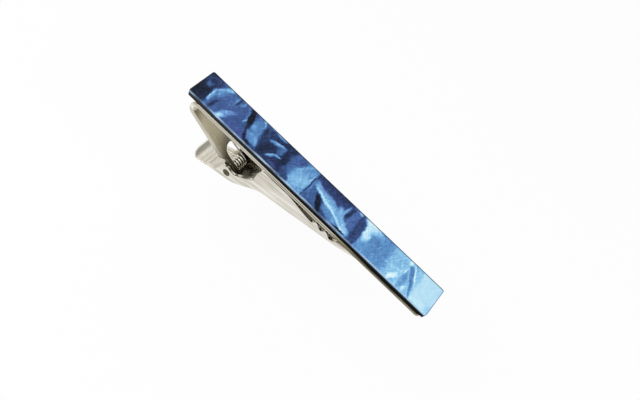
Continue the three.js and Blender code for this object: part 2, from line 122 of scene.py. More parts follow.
def fit(piece, node, body=None):
    """Shades a piece, hides the solid that it stands for, and hangs it on the body that carries it, if one is
    given.
    """
    if not piece.data.has_custom_normals:
        piece.data.shade_smooth()
        piece.data.set_sharp_from_angle(angle=SMOOTH_BELOW)
    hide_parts(node)
    if body:
        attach(piece, body)
    corners = [Vector(c) / MM for c in piece.bound_box]
    size = [round(max(c[i] for c in corners) - min(c[i] for c in corners), 2) for i in range(3)]
    print(piece.name, size, "mm,", len(piece.data.polygons), "faces")


print("edges that turn by less than", round(math.degrees(SMOOTH_BELOW)), "degrees look smooth")

# %% [markdown]
# ## The two plies of the bar
# The plies are sawn from a laminated sheet and polished, so they are flat plates with upright corners that are
# barely rounded and an upper edge that the polishing wheel has eased. A Bevel modifier could ease all edges alike,
# but here each kind of edge has its own radius. A cube scaled to size, with its four upright edges and then its
# upper rim bevelled, gives just that, with no more faces than it needs.

# %% Pearl ply and black ply
CORNER, CORNER_STEPS = 0.35, 6
ARRIS, ARRIS_STEPS = 0.16, 5
BLACK_ARRIS = 0.05
TOUCHING = 1e-6


def round_off(bm, edges, radius, steps):
    bmesh.ops.bevel(bm, geom=edges, offset=radius, offset_type="OFFSET", segments=steps,
                    profile=0.5, affect="EDGES", material=-1)


def is_upright(edge):
    return abs(edge.verts[0].co.z - edge.verts[1].co.z) > TOUCHING


def sawn_plate(low, high, arris):
    bm = bmesh.new()
    bmesh.ops.create_cube(bm, size=1)
    bmesh.ops.scale(bm, vec=high - low, verts=bm.verts)
    bmesh.ops.translate(bm, vec=(low + high) / 2, verts=bm.verts)
    round_off(bm, [e for e in bm.edges if is_upright(e)], CORNER, CORNER_STEPS)
    rim = [e for e in bm.edges if all(abs(v.co.z - high.z) < TOUCHING for v in e.verts)]
    round_off(bm, rim, arris, ARRIS_STEPS)
    return bm


pearl_ply = make_object("pearl_ply", sawn_plate(pearl_low, pearl_high, ARRIS))
fit(pearl_ply, "pearl_face", "bar")
black_ply = make_object("black_ply", sawn_plate(black_low, black_high, BLACK_ARRIS))
fit(black_ply, "black_backing", "bar")

# %% [markdown]
# ## The strip: bar, hairpin and leg
# One nickel-plated strip runs under the bar, turns back in a hairpin at the tail and slants down to the hinge.
# A curve with a flat section could follow that line, but it would not narrow at the shoulders. A workshop bends the
# strip from flat stock, and the mesh is made the same way: a rectangle is extruded for the bar, spun about the
# middle of the hairpin, and extruded again down the leg, where it narrows between its shoulders.

# %% Where the leg runs
STRIP = 0.85
HAIRPIN = 0.9
PIN_TO_LEG = 0.1
PIN_GAP = 0.06
EAR_WALL = 0.45

pin_at = Vector((pin_x, 0, pin_z))
pin_radius = (rivet_high.z - rivet_low.z) / 2
pin_drop = pin_radius + PIN_TO_LEG
ear_radius = pin_radius + PIN_GAP + EAR_WALL
strip_under = strip_high.z - STRIP
bend_x = strip_low.x + STRIP + HAIRPIN
bend_z = strip_under - HAIRPIN
to_pin = Vector((pin_x - bend_x, 0, pin_z - bend_z))
leg_angle = math.atan2(-to_pin.z, to_pin.x) - math.asin((HAIRPIN + STRIP + pin_drop) / to_pin.length)
leg_along = Vector((math.cos(leg_angle), 0, -math.sin(leg_angle)))
leg_up = Vector((math.sin(leg_angle), 0, math.cos(leg_angle)))
leg_length = to_pin.dot(leg_along) + ear_radius
print("leg slants", round(math.degrees(leg_angle), 1), "degrees over", round(leg_length, 2), "mm")

# %% How the leg narrows
LEVER_SHEET = 0.6
EAR_SHEET = 0.7
EAR_SIDE_GAP = 0.1
SHOULDER_REACH = 2.1
SHOULDER_LENGTH, SHOULDER_STEPS = 1.2, 6

strip_half = strip_high.y
lever_half = lever_high.y
ear_outside = lever_half - LEVER_SHEET - EAR_SIDE_GAP
ear_inside = ear_outside - EAR_SHEET
shoulder_end = leg_length - ear_radius - SHOULDER_REACH


def mix(a, b, share):
    return a + (b - a) * share


def smoothstep(value, low, high):
    share = min(max((value - low) / (high - low), 0), 1)
    return share * share * (3 - 2 * share)


shoulders = [mix(strip_half, ear_outside, smoothstep(step, 0, SHOULDER_STEPS))
             for step in range(1, SHOULDER_STEPS + 1)]
print("half width of the leg", round(strip_half, 2), "then", [round(half, 2) for half in shoulders])

# %% Bend the strip
HAIRPIN_STEPS = 40
TIP_CORNER, TIP_STEPS = 0.9, 8


def with_rim(face):
    """A face with its edges and corners. Extruded together, they leave no old face inside the tube."""
    return [face, *face.edges, *face.verts]


def only_face(geometry):
    return next(item for item in geometry if isinstance(item, bmesh.types.BMFace))


def push_end(bm, end, step):
    end = only_face(bmesh.ops.extrude_face_region(bm, geom=with_rim(end))["geom"])
    bmesh.ops.translate(bm, vec=step, verts=list(end.verts))
    return end


def swing_end(bm, end, centre, angle, steps, shift=(0, 0, 0)):
    spun = bmesh.ops.spin(bm, geom=with_rim(end), cent=centre, axis=(0, 1, 0), dvec=shift,
                          angle=angle, steps=steps, use_merge=False, use_duplicate=False)
    return only_face(spun["geom_last"])


bm = bmesh.new()
corners = [(-1, strip_under), (1, strip_under), (1, strip_high.z), (-1, strip_high.z)]
end = bm.faces.new([bm.verts.new((strip_high.x, side * strip_half, z)) for side, z in corners])
end = push_end(bm, end, (bend_x - strip_high.x, 0, 0))
end = swing_end(bm, end, (bend_x, 0, bend_z), leg_angle - math.pi, HAIRPIN_STEPS)
end = push_end(bm, end, leg_along * (shoulder_end - SHOULDER_LENGTH))
for half in shoulders:
    end = push_end(bm, end, leg_along * SHOULDER_LENGTH / SHOULDER_STEPS)
    for vert in end.verts:
        vert.co.y = math.copysign(half, vert.co.y)
push_end(bm, end, leg_along * (leg_length - shoulder_end))
at_tip = [e for e in bm.edges if all(abs(v.co.x - strip_high.x) < TOUCHING for v in e.verts)]
round_off(bm, [e for e in at_tip if is_upright(e)], TIP_CORNER, TIP_STEPS)
strip = make_object("nickel_strip", bm)
print("bent strip of", len(strip.data.polygons), "faces")

# %% [markdown]
# ## Ears, slot and pin hole
# At its end the leg has two ears folded down beside the coil, and a slot with a round end between them. They could
# be drawn into the flat strip, but then each would have to be bent along with it. Ears and slot are convex
# outlines, so each is the convex hull of a disc and a few points. They are joined to the leg or cut from it with
# Booleans, as a press tool would pierce it, and one bevel then eases every sharp edge.

# %% Join the ears
EAR_FLARE = 1.1
ROUND = 32
SIDEWAYS = Vector((0, 1, 0))


def bake_modifiers(piece):
    bpy.context.view_layer.update()
    shaped = piece.evaluated_get(bpy.context.evaluated_depsgraph_get())
    mesh = bpy.data.meshes.new_from_object(shaped)
    piece.modifiers.clear()
    piece.data = mesh
    mesh.name = piece.name


def cut_or_join(piece, tool, operation):
    boolean = piece.modifiers.new(operation.lower(), "BOOLEAN")
    boolean.operation = operation
    boolean.solver = "EXACT"
    boolean.object = tool
    bake_modifiers(piece)
    bpy.data.objects.remove(tool)


def add_disc(bm, middle, radius, axis, sides=ROUND, filled=False):
    turn = Vector((0, 0, 1)).rotation_difference(axis).to_matrix().to_4x4()
    bmesh.ops.create_circle(bm, cap_ends=filled, segments=sides, radius=radius,
                            matrix=Matrix.Translation(middle) @ turn)


def hull_object(name, bm):
    hull = bmesh.ops.convex_hull(bm, input=bm.verts)
    inside = [item for item in hull["geom_interior"] if isinstance(item, bmesh.types.BMVert)]
    bmesh.ops.delete(bm, geom=inside, context="VERTS")
    return make_object(name, bm)


def on_leg(along, up, y):
    return pin_at + leg_along * along + leg_up * up + SIDEWAYS * y


def ear(side):
    bm = bmesh.new()
    leg_middle = pin_drop + STRIP / 2
    for y in (side * ear_inside, side * ear_outside):
        add_disc(bm, pin_at + SIDEWAYS * y, ear_radius, SIDEWAYS)
        bm.verts.new(on_leg(-ear_radius - EAR_FLARE, leg_middle, y))
        bm.verts.new(on_leg(ear_radius, leg_middle, y))
    return hull_object("ear", bm)


for side in (-1, 1):
    cut_or_join(strip, ear(side), "UNION")
print("strip with ears,", len(strip.data.polygons), "faces")

# %% Pierce the slot and the pin hole
SLOT_REACH = 4.4


def slot_punch():
    bm = bmesh.new()
    for up in (pin_drop - STRIP / 2, pin_drop + STRIP + STRIP / 2):
        add_disc(bm, on_leg(ear_inside - SLOT_REACH, up, 0), ear_inside, leg_up)
        bm.verts.new(on_leg(2 * ear_radius, up, -ear_inside))
        bm.verts.new(on_leg(2 * ear_radius, up, ear_inside))
    return hull_object("slot_punch", bm)


def pin_drill():
    bm = bmesh.new()
    for y in (-2 * strip_half, 2 * strip_half):
        add_disc(bm, pin_at + SIDEWAYS * y, pin_radius + PIN_GAP, SIDEWAYS)
    return hull_object("pin_drill", bm)


cut_or_join(strip, slot_punch(), "DIFFERENCE")
cut_or_join(strip, pin_drill(), "DIFFERENCE")
print("pierced strip,", len(strip.data.polygons), "faces")

# %% Ease the edges of the strip
STRIP_EASE = 0.035
SLIVER = 0.02
FLAT = math.radians(0.5)


def clear_slivers(piece):
    """Merges the tiny edges and flat splits that a Boolean leaves, because a bevel is held back by the shortest."""
    bm = bmesh.new()
    bm.from_mesh(piece.data)
    bmesh.ops.remove_doubles(bm, verts=bm.verts, dist=SLIVER * MM)
    bmesh.ops.dissolve_limit(bm, angle_limit=FLAT, verts=bm.verts, edges=bm.edges)
    bm.to_mesh(piece.data)
    bm.free()


def ease_edges(piece, width, segments=3, above=SMOOTH_BELOW):
    bevel = piece.modifiers.new("eased edges", "BEVEL")
    bevel.width = width * MM
    bevel.segments = segments
    bevel.profile = 0.5
    bevel.limit_method = "ANGLE"
    bevel.angle_limit = above
    bevel.use_clamp_overlap = True
    bake_modifiers(piece)


def keep_faces_flat(piece):
    """Shades by the largest faces, so that an eased edge doesn't darken the flat face beside it."""
    piece.data.shade_smooth()
    piece.modifiers.new("flat faces stay flat", "WEIGHTED_NORMAL")
    bake_modifiers(piece)


clear_slivers(strip)
ease_edges(strip, STRIP_EASE)
keep_faces_flat(strip)
fit(strip, "bar_frame", "bar")

# %% [markdown]
# ## The lever's bent line
# From the side the lever is one bent line: the lip of the thumb tab, the tab, the belly under the pin, the rise,
# the brow and the flat jaw pad. A curve object could carry it, but walls and ribs are set out by their distance
# from the lip. So the line is worked out here, as straight runs joined by round bends.

# %% Clearance under the pin
COIL_CHORDS = 8
COIL_GAP = 0.14
WIRE_CAD = 0.36
FLOOR_GAP = 0.3

coil_outer = (pin_radius + COIL_GAP + WIRE_CAD / 2) / math.cos(math.pi / COIL_CHORDS) + WIRE_CAD / 2
floor_below_pin = max(coil_outer, ear_radius) + FLOOR_GAP
lever_under = floor_below_pin + LEVER_SHEET
print("underside of the lever", round(lever_under, 2), "mm below the pin")

# %% Corners of the lever's line
TAB_ANGLE, TAB_REACH = math.radians(15), 7.3
LIP_ANGLE, LIP_LENGTH, LIP_RADIUS = math.radians(48), 0.76, 1.4
BELLY_AHEAD, BELLY_RADIUS = 1.5, 6
RISE_ANGLE, RISE_LENGTH = math.radians(40), 6.2
BROW_RADIUS = 6
PAD_LENGTH, PAD_BEND, PAD_RIM = 12, 14, 0.08
JAW_GAP = 0.25


def flat(x, z):
    return Vector((x, z))


def slope(angle):
    return flat(math.cos(angle), math.sin(angle))


tab_along = slope(TAB_ANGLE)
foot = flat(pin_x, pin_z) - flat(-tab_along.y, tab_along.x) * lever_under
lip = foot - tab_along * TAB_REACH
lip_tangent = LIP_RADIUS * math.tan(LIP_ANGLE / 2)
lip_top = lip + slope(math.pi + TAB_ANGLE - LIP_ANGLE) * (lip_tangent + LIP_LENGTH)
belly = foot + tab_along * BELLY_AHEAD
brow = belly + slope(RISE_ANGLE) * RISE_LENGTH
tip = flat(lever_high.x, strip_under - JAW_GAP - PAD_RIM - LEVER_SHEET)
pad_start = tip - flat(PAD_LENGTH, 0)
print("lever's line from", [round(v, 2) for v in lip_top], "to", [round(v, 2) for v in tip], "mm")

# %% Round the corners of the line
LINE_STEP = 0.02


def bent_line(corners, radii):
    """Points along straight runs joined by round bends, and their distances from the first."""
    keys = [corners[0]]
    for before, corner, after, radius in zip(corners, corners[1:], corners[2:], radii):
        back = (before - corner).normalized()
        ahead = (after - corner).normalized()
        half = back.angle(ahead) / 2
        centre = corner + (back + ahead).normalized() * (radius / math.sin(half))
        start = corner + back * (radius / math.tan(half)) - centre
        turn = start.angle_signed(corner + ahead * (radius / math.tan(half)) - centre)
        steps = max(2, math.ceil(abs(turn) * radius / LINE_STEP))
        keys += [centre + Matrix.Rotation(-turn * k / steps, 2) @ start for k in range(steps + 1)]
    keys.append(corners[-1])
    lengths = [0]
    for a, b in zip(keys, keys[1:]):
        lengths.append(lengths[-1] + (b - a).length)
    return keys, lengths


line, run = bent_line([lip_top, lip, belly, brow, pad_start, tip],
                      [LIP_RADIUS, BELLY_RADIUS, BROW_RADIUS, PAD_BEND])
lever_length = run[-1]
print("lever line", round(lever_length, 2), "mm long,", len(line), "points")

# %% [markdown]
# ## Pressing the lever from a flat blank
# The lever is one piece of sheet: a press bends up its side walls, rounds its corners, raises ribs on the thumb tab
# and coins teeth into the jaw pad. Plates joined by Booleans would show seams where the real sheet is bent. So the
# mesh repeats the pressing. A grid is the flat blank, extruding it gives the sheet its thickness, and each vertex
# is then carried to its place in the pressed shape, which keeps the faces in neat rows.

# %% Places along the lever
RIBS, RIB_PITCH, RIB_HEIGHT, RIB_FROM_LIP = 3, 0.8, 0.12, 0.75
TEETH, TOOTH_PITCH, TOOTH_DEPTH = 7, 1.2, 0.2
BITES, BITE_PITCH, BITE_HEIGHT, BITE_FROM_PAD = 2, 2.1, 0.9, 11
SPRING_WALL, SPRING_WALL_LENGTH = 2.5, 3.2
CHEEK_FROM_PIN, CHEEK_RISE = 6.8, 1.8
PAD_CORNER = 1


def on_line(distance):
    """Point on the lever's line and the direction square to it."""
    k = next((i for i, r in enumerate(run[1:-1], 1) if r > distance), len(run) - 1)
    along = line[k] - line[k - 1]
    share = (distance - run[k - 1]) / along.length
    along.normalize()
    return line[k - 1].lerp(line[k], share), flat(-along.y, along.x)


def distance_to(target):
    return min(zip(line, run), key=lambda item: (item[0] - target).length)[1]


at_foot = TAB_REACH + LIP_LENGTH + LIP_RADIUS * LIP_ANGLE - lip_tangent
at_lip = LIP_LENGTH + LIP_RADIUS * LIP_ANGLE / 2
at_pad = distance_to(pad_start)
at_ribs = at_lip + RIB_FROM_LIP
ribs_end = at_ribs + RIBS * RIB_PITCH
teeth_end = lever_length - PAD_CORNER
at_teeth = teeth_end - TEETH * TOOTH_PITCH
at_bite = at_pad - BITE_FROM_PAD
bite_end = at_bite + BITES * BITE_PITCH
spring_wall_end = at_foot + SPRING_WALL_LENGTH
at_cheek = at_foot + CHEEK_FROM_PIN
print("from the lip: pin", round(at_foot, 2), "bites", round(at_bite, 2), "pad", round(at_pad, 2), "mm")

# %% Height of the walls
TAB_RIM = 1.1
EAR_RIM = 0.85
JAW_DROP, JAW_DROP_LENGTH = 1.1, 5.8
WALL_TO_STRIP = 0.3

ear_reach = pin_radius + EAR_RIM
flat_wall = LEVER_SHEET + PAD_RIM


def room_at(s):
    """Height that the walls can have without meeting the strip above them."""
    middle, up = on_line(s)
    return (strip_under - WALL_TO_STRIP - middle.y) / up.y


def wall_at(s):
    if s < at_foot - ear_reach:
        rim = mix(flat_wall, TAB_RIM, smoothstep(s, ribs_end - RIB_PITCH, ribs_end + RIB_PITCH))
        return mix(rim, lever_under, smoothstep(s, at_foot - 2 * ear_reach, at_foot - ear_reach))
    if s < at_foot:
        return lever_under + math.sqrt(max(0, ear_reach ** 2 - (at_foot - s) ** 2))
    wall = mix(lever_under + ear_reach, SPRING_WALL, smoothstep(s, at_foot, spring_wall_end))
    sinks = smoothstep(s, at_bite - JAW_DROP_LENGTH, at_bite)
    returns = smoothstep(s, bite_end, bite_end + BITE_PITCH)
    cheek = room_at(s) - JAW_DROP * (sinks - returns)
    wall = mix(wall, cheek, smoothstep(s, at_cheek, at_cheek + CHEEK_RISE))
    if at_bite < s < bite_end:
        wall += BITE_HEIGHT * math.sin(math.pi * (s - at_bite) / BITE_PITCH) ** 2
    return wall


wall_heights = [wall_at(s) for s in (at_foot, spring_wall_end, at_cheek + CHEEK_RISE)]
print("walls at the pin, the spring and the cheeks", [round(wall, 2) for wall in wall_heights], "mm")

# %% Width, ribs and teeth
TAB_CORNER = 1.3
PAD_WIDTH = 4.2
TAPER = 7


def corner_loss(distance, corner):
    if distance >= corner:
        return 0
    return corner - math.sqrt(max(0, corner ** 2 - (corner - distance) ** 2))


def half_width_at(s):
    taper = smoothstep(s, at_pad - TAPER, at_pad + PAD_LENGTH / 2)
    half = mix(lever_half, PAD_WIDTH / 2, taper)
    return half - corner_loss(s, TAB_CORNER) - corner_loss(lever_length - s, PAD_CORNER)


def rib_at(s):
    inside = at_ribs < s < ribs_end
    return RIB_HEIGHT * math.sin(math.pi * (s - at_ribs) / RIB_PITCH) ** 2 if inside else 0


def groove_at(s):
    if not at_teeth < s < teeth_end:
        return 0
    return TOOTH_DEPTH * (1 - abs(2 * ((s - at_teeth) / TOOTH_PITCH % 1) - 1))


print("lever", round(2 * half_width_at(at_foot), 2), "mm wide,", RIBS, "ribs,", TEETH, "teeth")

# %% Press the blank
ROWS, COLUMNS = 320, 52
BEND = 0.9
LEAST = 0.02
DIGITS = 6
LEVER_EASE, LEVER_EASE_STEPS, LEVER_EASE_ABOVE = 0.07, 2, math.radians(50)


def section_at(s):
    middle, up = on_line(s)
    groove_and_reflection_line = groove_at(s)
    wall = max(min(wall_at(s), room_at(s)), flat_wall) - groove_and_reflection_line
    bend = min(BEND, wall - LEAST)
    return middle, up, half_width_at(s), wall, bend, LEVER_SHEET - groove_and_reflection_line, rib_at(s)


def press(across, layer, section):
    middle, up, half, wall, bend, sheet, rib = section
    floor, arc = half - bend, bend * math.pi / 2
    out = abs(across) * (floor + arc + wall - bend)
    turn = min(max((out - floor) / bend, 0), math.pi / 2)
    y = min(out, floor) + bend * math.sin(turn)
    lift = bend * (1 - math.cos(turn)) + max(out - floor - arc, 0)
    y -= layer * sheet * math.sin(turn)
    lift += layer * sheet * math.cos(turn) + rib
    spot = middle + up * lift
    return Vector((spot.x, math.copysign(y, across), spot.y))


bm = bmesh.new()
bmesh.ops.create_grid(bm, x_segments=ROWS, y_segments=COLUMNS, size=1)
grown = bmesh.ops.extrude_face_region(bm, geom=bm.faces[:])["geom"]
bmesh.ops.translate(bm, vec=(0, 0, 1), verts=[v for v in grown if isinstance(v, bmesh.types.BMVert)])
stations = sorted({round(v.co.x, DIGITS) for v in bm.verts})
sections = {x: section_at((x + 1) / 2 * lever_length) for x in stations}
for vert in bm.verts:
    vert.co = press(vert.co.y, vert.co.z, sections[round(vert.co.x, DIGITS)])
lever = make_object("nickel_lever", bm)
cut_or_join(lever, pin_drill(), "DIFFERENCE")
ease_edges(lever, LEVER_EASE, LEVER_EASE_STEPS, LEVER_EASE_ABOVE)
fit(lever, "clip_lever", "lever")

# %% [markdown]
# ## The rivet pin
# The pin is a short turned bar whose ends are cupped by the riveting tool. A cylinder would have flat ends, and the
# cups would have to be cut. A turned piece is a profile spun round its axis, so a few vertices draw half of its
# outline and a full spin closes it.

# %% Spin the pin
PIN_CUP, CUP_DEPTH = 0.46, 0.35
PIN_CHAMFER = 0.08
PIN_STEPS = 40

bm = bmesh.new()
end_y = rivet_high.y
profile = [(0, CUP_DEPTH - end_y), (PIN_CUP, -end_y), (pin_radius - PIN_CHAMFER, -end_y),
           (pin_radius, PIN_CHAMFER - end_y), (pin_radius, end_y - PIN_CHAMFER),
           (pin_radius - PIN_CHAMFER, end_y), (PIN_CUP, end_y), (0, end_y - CUP_DEPTH)]
outline = [bm.verts.new((pin_x + radius, y, pin_z)) for radius, y in profile]
edges = [bm.edges.new(pair) for pair in zip(outline, outline[1:])]
bmesh.ops.spin(bm, geom=outline + edges, cent=pin_at, axis=(0, 1, 0), dvec=(0, 0, 0),
               angle=2 * math.pi, steps=PIN_STEPS, use_merge=True, use_duplicate=False)
rivet = make_object("rivet_pin", bm)
fit(rivet, "pivot_pin", "bar")

# %% [markdown]
# ## The torsion spring
# The spring is one hard wire: an arm under the leg, a close coil round the pin and an arm on the thumb tab. A Screw
# modifier could wind the coil, but the arms would be separate pieces. A spin with a small step along its axis winds
# it in the same mesh, and the arms are the two end faces pushed out straight.

# %% Size the coil and its arms
WIRE = 0.38
WHOLE_TURNS, PART_TURN = 4, 0.4
TURN_GAP = 0.22
ARM_GAP = 0.06
TAB_ARM = 2.4

coil_radius = pin_radius + COIL_GAP + WIRE / 2
coil_half = (WHOLE_TURNS + PART_TURN) * (WIRE + TURN_GAP) / 2
under_leg = pin_drop - WIRE / 2 - ARM_GAP
slot_edge = SLOT_REACH - ear_inside + math.sqrt(ear_inside ** 2 - coil_half ** 2)
fixed_slope = leg_angle - math.asin((coil_radius - under_leg) / slot_edge)
over_floor = floor_below_pin - RIB_HEIGHT - WIRE / 2 - ARM_GAP
moving_slope = TAB_ANGLE + math.asin((over_floor - coil_radius) / TAB_ARM)
coil_from = math.pi / 2 - fixed_slope
sweep = coil_from - (moving_slope - math.pi / 2) + WHOLE_TURNS * 2 * math.pi
print("coil of", round(sweep / (2 * math.pi), 2), "turns,", round(2 * coil_half + WIRE, 2), "mm wide")

# %% Wind the spring
WIRE_SIDES = 14
STEPS_PER_TURN = 28
ARM_PAST_SLOT = 0.7

first_run = Vector((math.cos(fixed_slope), 0, -math.sin(fixed_slope)))
last_run = Vector((-math.cos(moving_slope), 0, -math.sin(moving_slope)))
leg_arm = first_run * (slot_edge + ARM_PAST_SLOT)
coil_start = pin_at + Vector((coil_radius * math.cos(coil_from), coil_half, coil_radius * math.sin(coil_from)))
steps = round(sweep / (2 * math.pi) * STEPS_PER_TURN)

bm = bmesh.new()
add_disc(bm, coil_start - leg_arm, WIRE / 2, first_run, WIRE_SIDES, filled=True)
end = push_end(bm, bm.faces[:][0], leg_arm)
end = swing_end(bm, end, pin_at, sweep, steps, shift=(0, -2 * coil_half / steps, 0))
push_end(bm, end, last_run * TAB_ARM)
spring = make_object("torsion_wire", bm)
fit(spring, "torsion_spring")
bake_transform(spring)

# %% [markdown]
# ## Writing materials as expressions
# A shader is a graph of nodes. It could be wired link by link, but such code gets long and no longer reads like the
# pattern that it draws. So one small class holds a socket: adding, multiplying or subtracting such sockets puts in
# Math nodes, and its `node` method puts in any other node.

# %% A socket that can be used in expressions
class Signal:
    def __init__(self, tree, socket=None):
        self.tree = tree
        self.socket = socket

    def node(self, kind, inputs, output=0, stops=(), **settings):
        made = self.tree.nodes.new("ShaderNode" + kind)
        for name, value in settings.items():
            setattr(made, name, value)
        if stops:
            ramp = made.color_ramp.elements
            ramp.remove(ramp[1])
            ramp[0].position, ramp[0].color = stops[0]
            for position, colour in stops[1:]:
                ramp.new(position).color = colour
        for name, value in inputs.items():
            if isinstance(value, Signal):
                self.tree.links.new(value.socket, made.inputs[name])
            else:
                made.inputs[name].default_value = value
        return Signal(self.tree, made.outputs[output])

    def math(self, operation, first, second=0.0):
        return self.node("Math", {0: first, 1: second}, operation=operation)

    def __add__(self, other):
        return self.math("ADD", self, other)

    __radd__ = __add__

    def __sub__(self, other):
        return self.math("SUBTRACT", self, other)

    def __rsub__(self, other):
        return self.math("SUBTRACT", other, self)

    def __mul__(self, other):
        return self.math("MULTIPLY", self, other)

    __rmul__ = __mul__

    def __abs__(self):
        return self.math("ABSOLUTE", self)


print("sockets can be added, subtracted and multiplied, and abs takes away their sign")

# %% Colours, steps and grain
MIX_COLOURS, MIX_COLOUR_RESULT = (6, 7), 2
MID_GREY = 128


def srgb(red, green, blue):
    """A colour written as a screen shows it, turned to the linear values that a shader takes."""
    return *Color((red / 255, green / 255, blue / 255)).from_srgb_to_scene_linear(), 1


def blend_colours(share, first, second):
    low, high = MIX_COLOURS
    return share.node("Mix", {0: share, low: first, high: second}, output=MIX_COLOUR_RESULT, data_type="RGBA")


def rise(value, low, high, start=0.0, end=1.0):
    """Goes from start to end, without corners, while value goes from low to high."""
    return value.node("MapRange", {"Value": value, "From Min": low, "From Max": high, "To Min": start,
                                   "To Max": end}, interpolation_type="SMOOTHSTEP")


def fall(value, low, high):
    return rise(value, low, high, 1.0, 0.0)


def larger(first, second):
    return first.math("MAXIMUM", first, second)


def part_of(place, axis):
    return place.node("SeparateXYZ", {"Vector": place}, output=axis)


def turned(place, stretch, angle=0.0):
    """Coordinates turned and then stretched, so that a noise on them becomes a grain in that direction."""
    return place.node("Mapping", {"Vector": place, "Rotation": (0, 0, math.radians(angle)),
                                  "Scale": [1 / s for s in stretch]}, vector_type="TEXTURE")


def noise(place, scale, detail=2.0, roughness=0.5):
    return place.node("TexNoise", {"Vector": place, "Scale": scale, "Detail": detail, "Roughness": roughness})


print("a screen's middle grey is", round(srgb(MID_GREY, MID_GREY, MID_GREY)[0], 3), "in linear light")

# %% [markdown]
# ## Blue pearl plastic
# Pearl plastic is clear resin full of thin mica flakes. Where the flakes lie flat they shine pale blue, where they
# stand on edge one looks into dark navy resin, and the mixing leaves long curls with one crisp and one soft side.
# A noise alone gives clouds, not curls, so a brightness field is laid down like paint: broad bands along the bar
# first, which also carry a painted sheen that darkens the tail and lightens the tip, then one ellipse for each
# curl, darker on one side than on the other, and a ramp turns it into blues.
# Every pattern reads Object coordinates turned to millimetres, so it stays on its piece when the piece moves.

# %% Start the pearl
def new_finish(name):
    """A new material, its surface shader, and the place on the piece in millimetres."""
    finish = bpy.data.materials.new(name)
    finish.use_nodes = True
    place = Signal(finish.node_tree).node("TexCoord", {}, output="Object")
    place = place.node("Mapping", {"Vector": place, "Scale": (1 / MM, 1 / MM, 1 / MM)})
    return finish, finish.node_tree.nodes["Principled BSDF"], place


blue_pearl, pearl_surface, pearl_place = new_finish("blue_pearl")
print(blue_pearl.name, "starts with", len(blue_pearl.node_tree.nodes), "nodes")

# %% Let the pattern wander
PEARL_WANDER = [(0.55, 0.45), (3.0, 0.14)]  # scale of the noise, reach in millimetres
MIDDLE = (0.5, 0.5, 0.5)

wander = pearl_place
for scale, reach in PEARL_WANDER:
    drift = pearl_place.node("TexNoise", {"Vector": pearl_place, "Scale": scale, "Detail": 2.0}, output="Color")
    drift = drift.node("VectorMath", {0: drift, 1: MIDDLE}, operation="SUBTRACT")
    drift = drift.node("VectorMath", {0: drift, "Scale": 2 * reach}, operation="SCALE")
    wander = wander.node("VectorMath", {0: wander, 1: drift}, operation="ADD")
print("the pattern wanders by up to", round(sum(reach for _, reach in PEARL_WANDER), 2), "mm")

# %% Broad bands and painted sheen along the bar
PEARL_BANDS_AND_SHEEN = [  # place along the bar, brightness
    (-27.5, 0.06), (-24.9, 0.08), (-24.3, 0.42), (-22.5, 0.4), (-18.0, 0.38), (-16.8, 0.3), (-15.8, 0.48),
    (-14.0, 0.5), (-12.9, 0.26), (-11.0, 0.2), (-8.2, 0.17), (-7.2, 0.2), (-6.6, 0.4), (-4.6, 0.56), (-2.0, 0.62),
    (-1.5, 0.42), (-0.2, 0.4), (0.3, 0.3), (6.2, 0.26), (7.0, 0.42), (8.5, 0.44), (8.9, 0.27), (10.1, 0.3),
    (10.6, 0.62), (13.0, 0.6), (16.2, 0.6), (17.1, 0.74), (20.2, 0.78), (21.0, 0.72), (23.0, 0.78), (23.4, 0.89),
    (27.5, 0.88)]

pearl_length = pearl_high.x - pearl_low.x
along = part_of(wander, "X") * (1 / pearl_length) + 0.5
band_stops = [(x / pearl_length + 0.5, (shade, shade, shade, 1)) for x, shade in PEARL_BANDS_AND_SHEEN]
bands = along.node("ValToRGB", {"Fac": along}, stops=band_stops)
print(len(PEARL_BANDS_AND_SHEEN), "stops make bands over", round(pearl_length, 1), "mm")

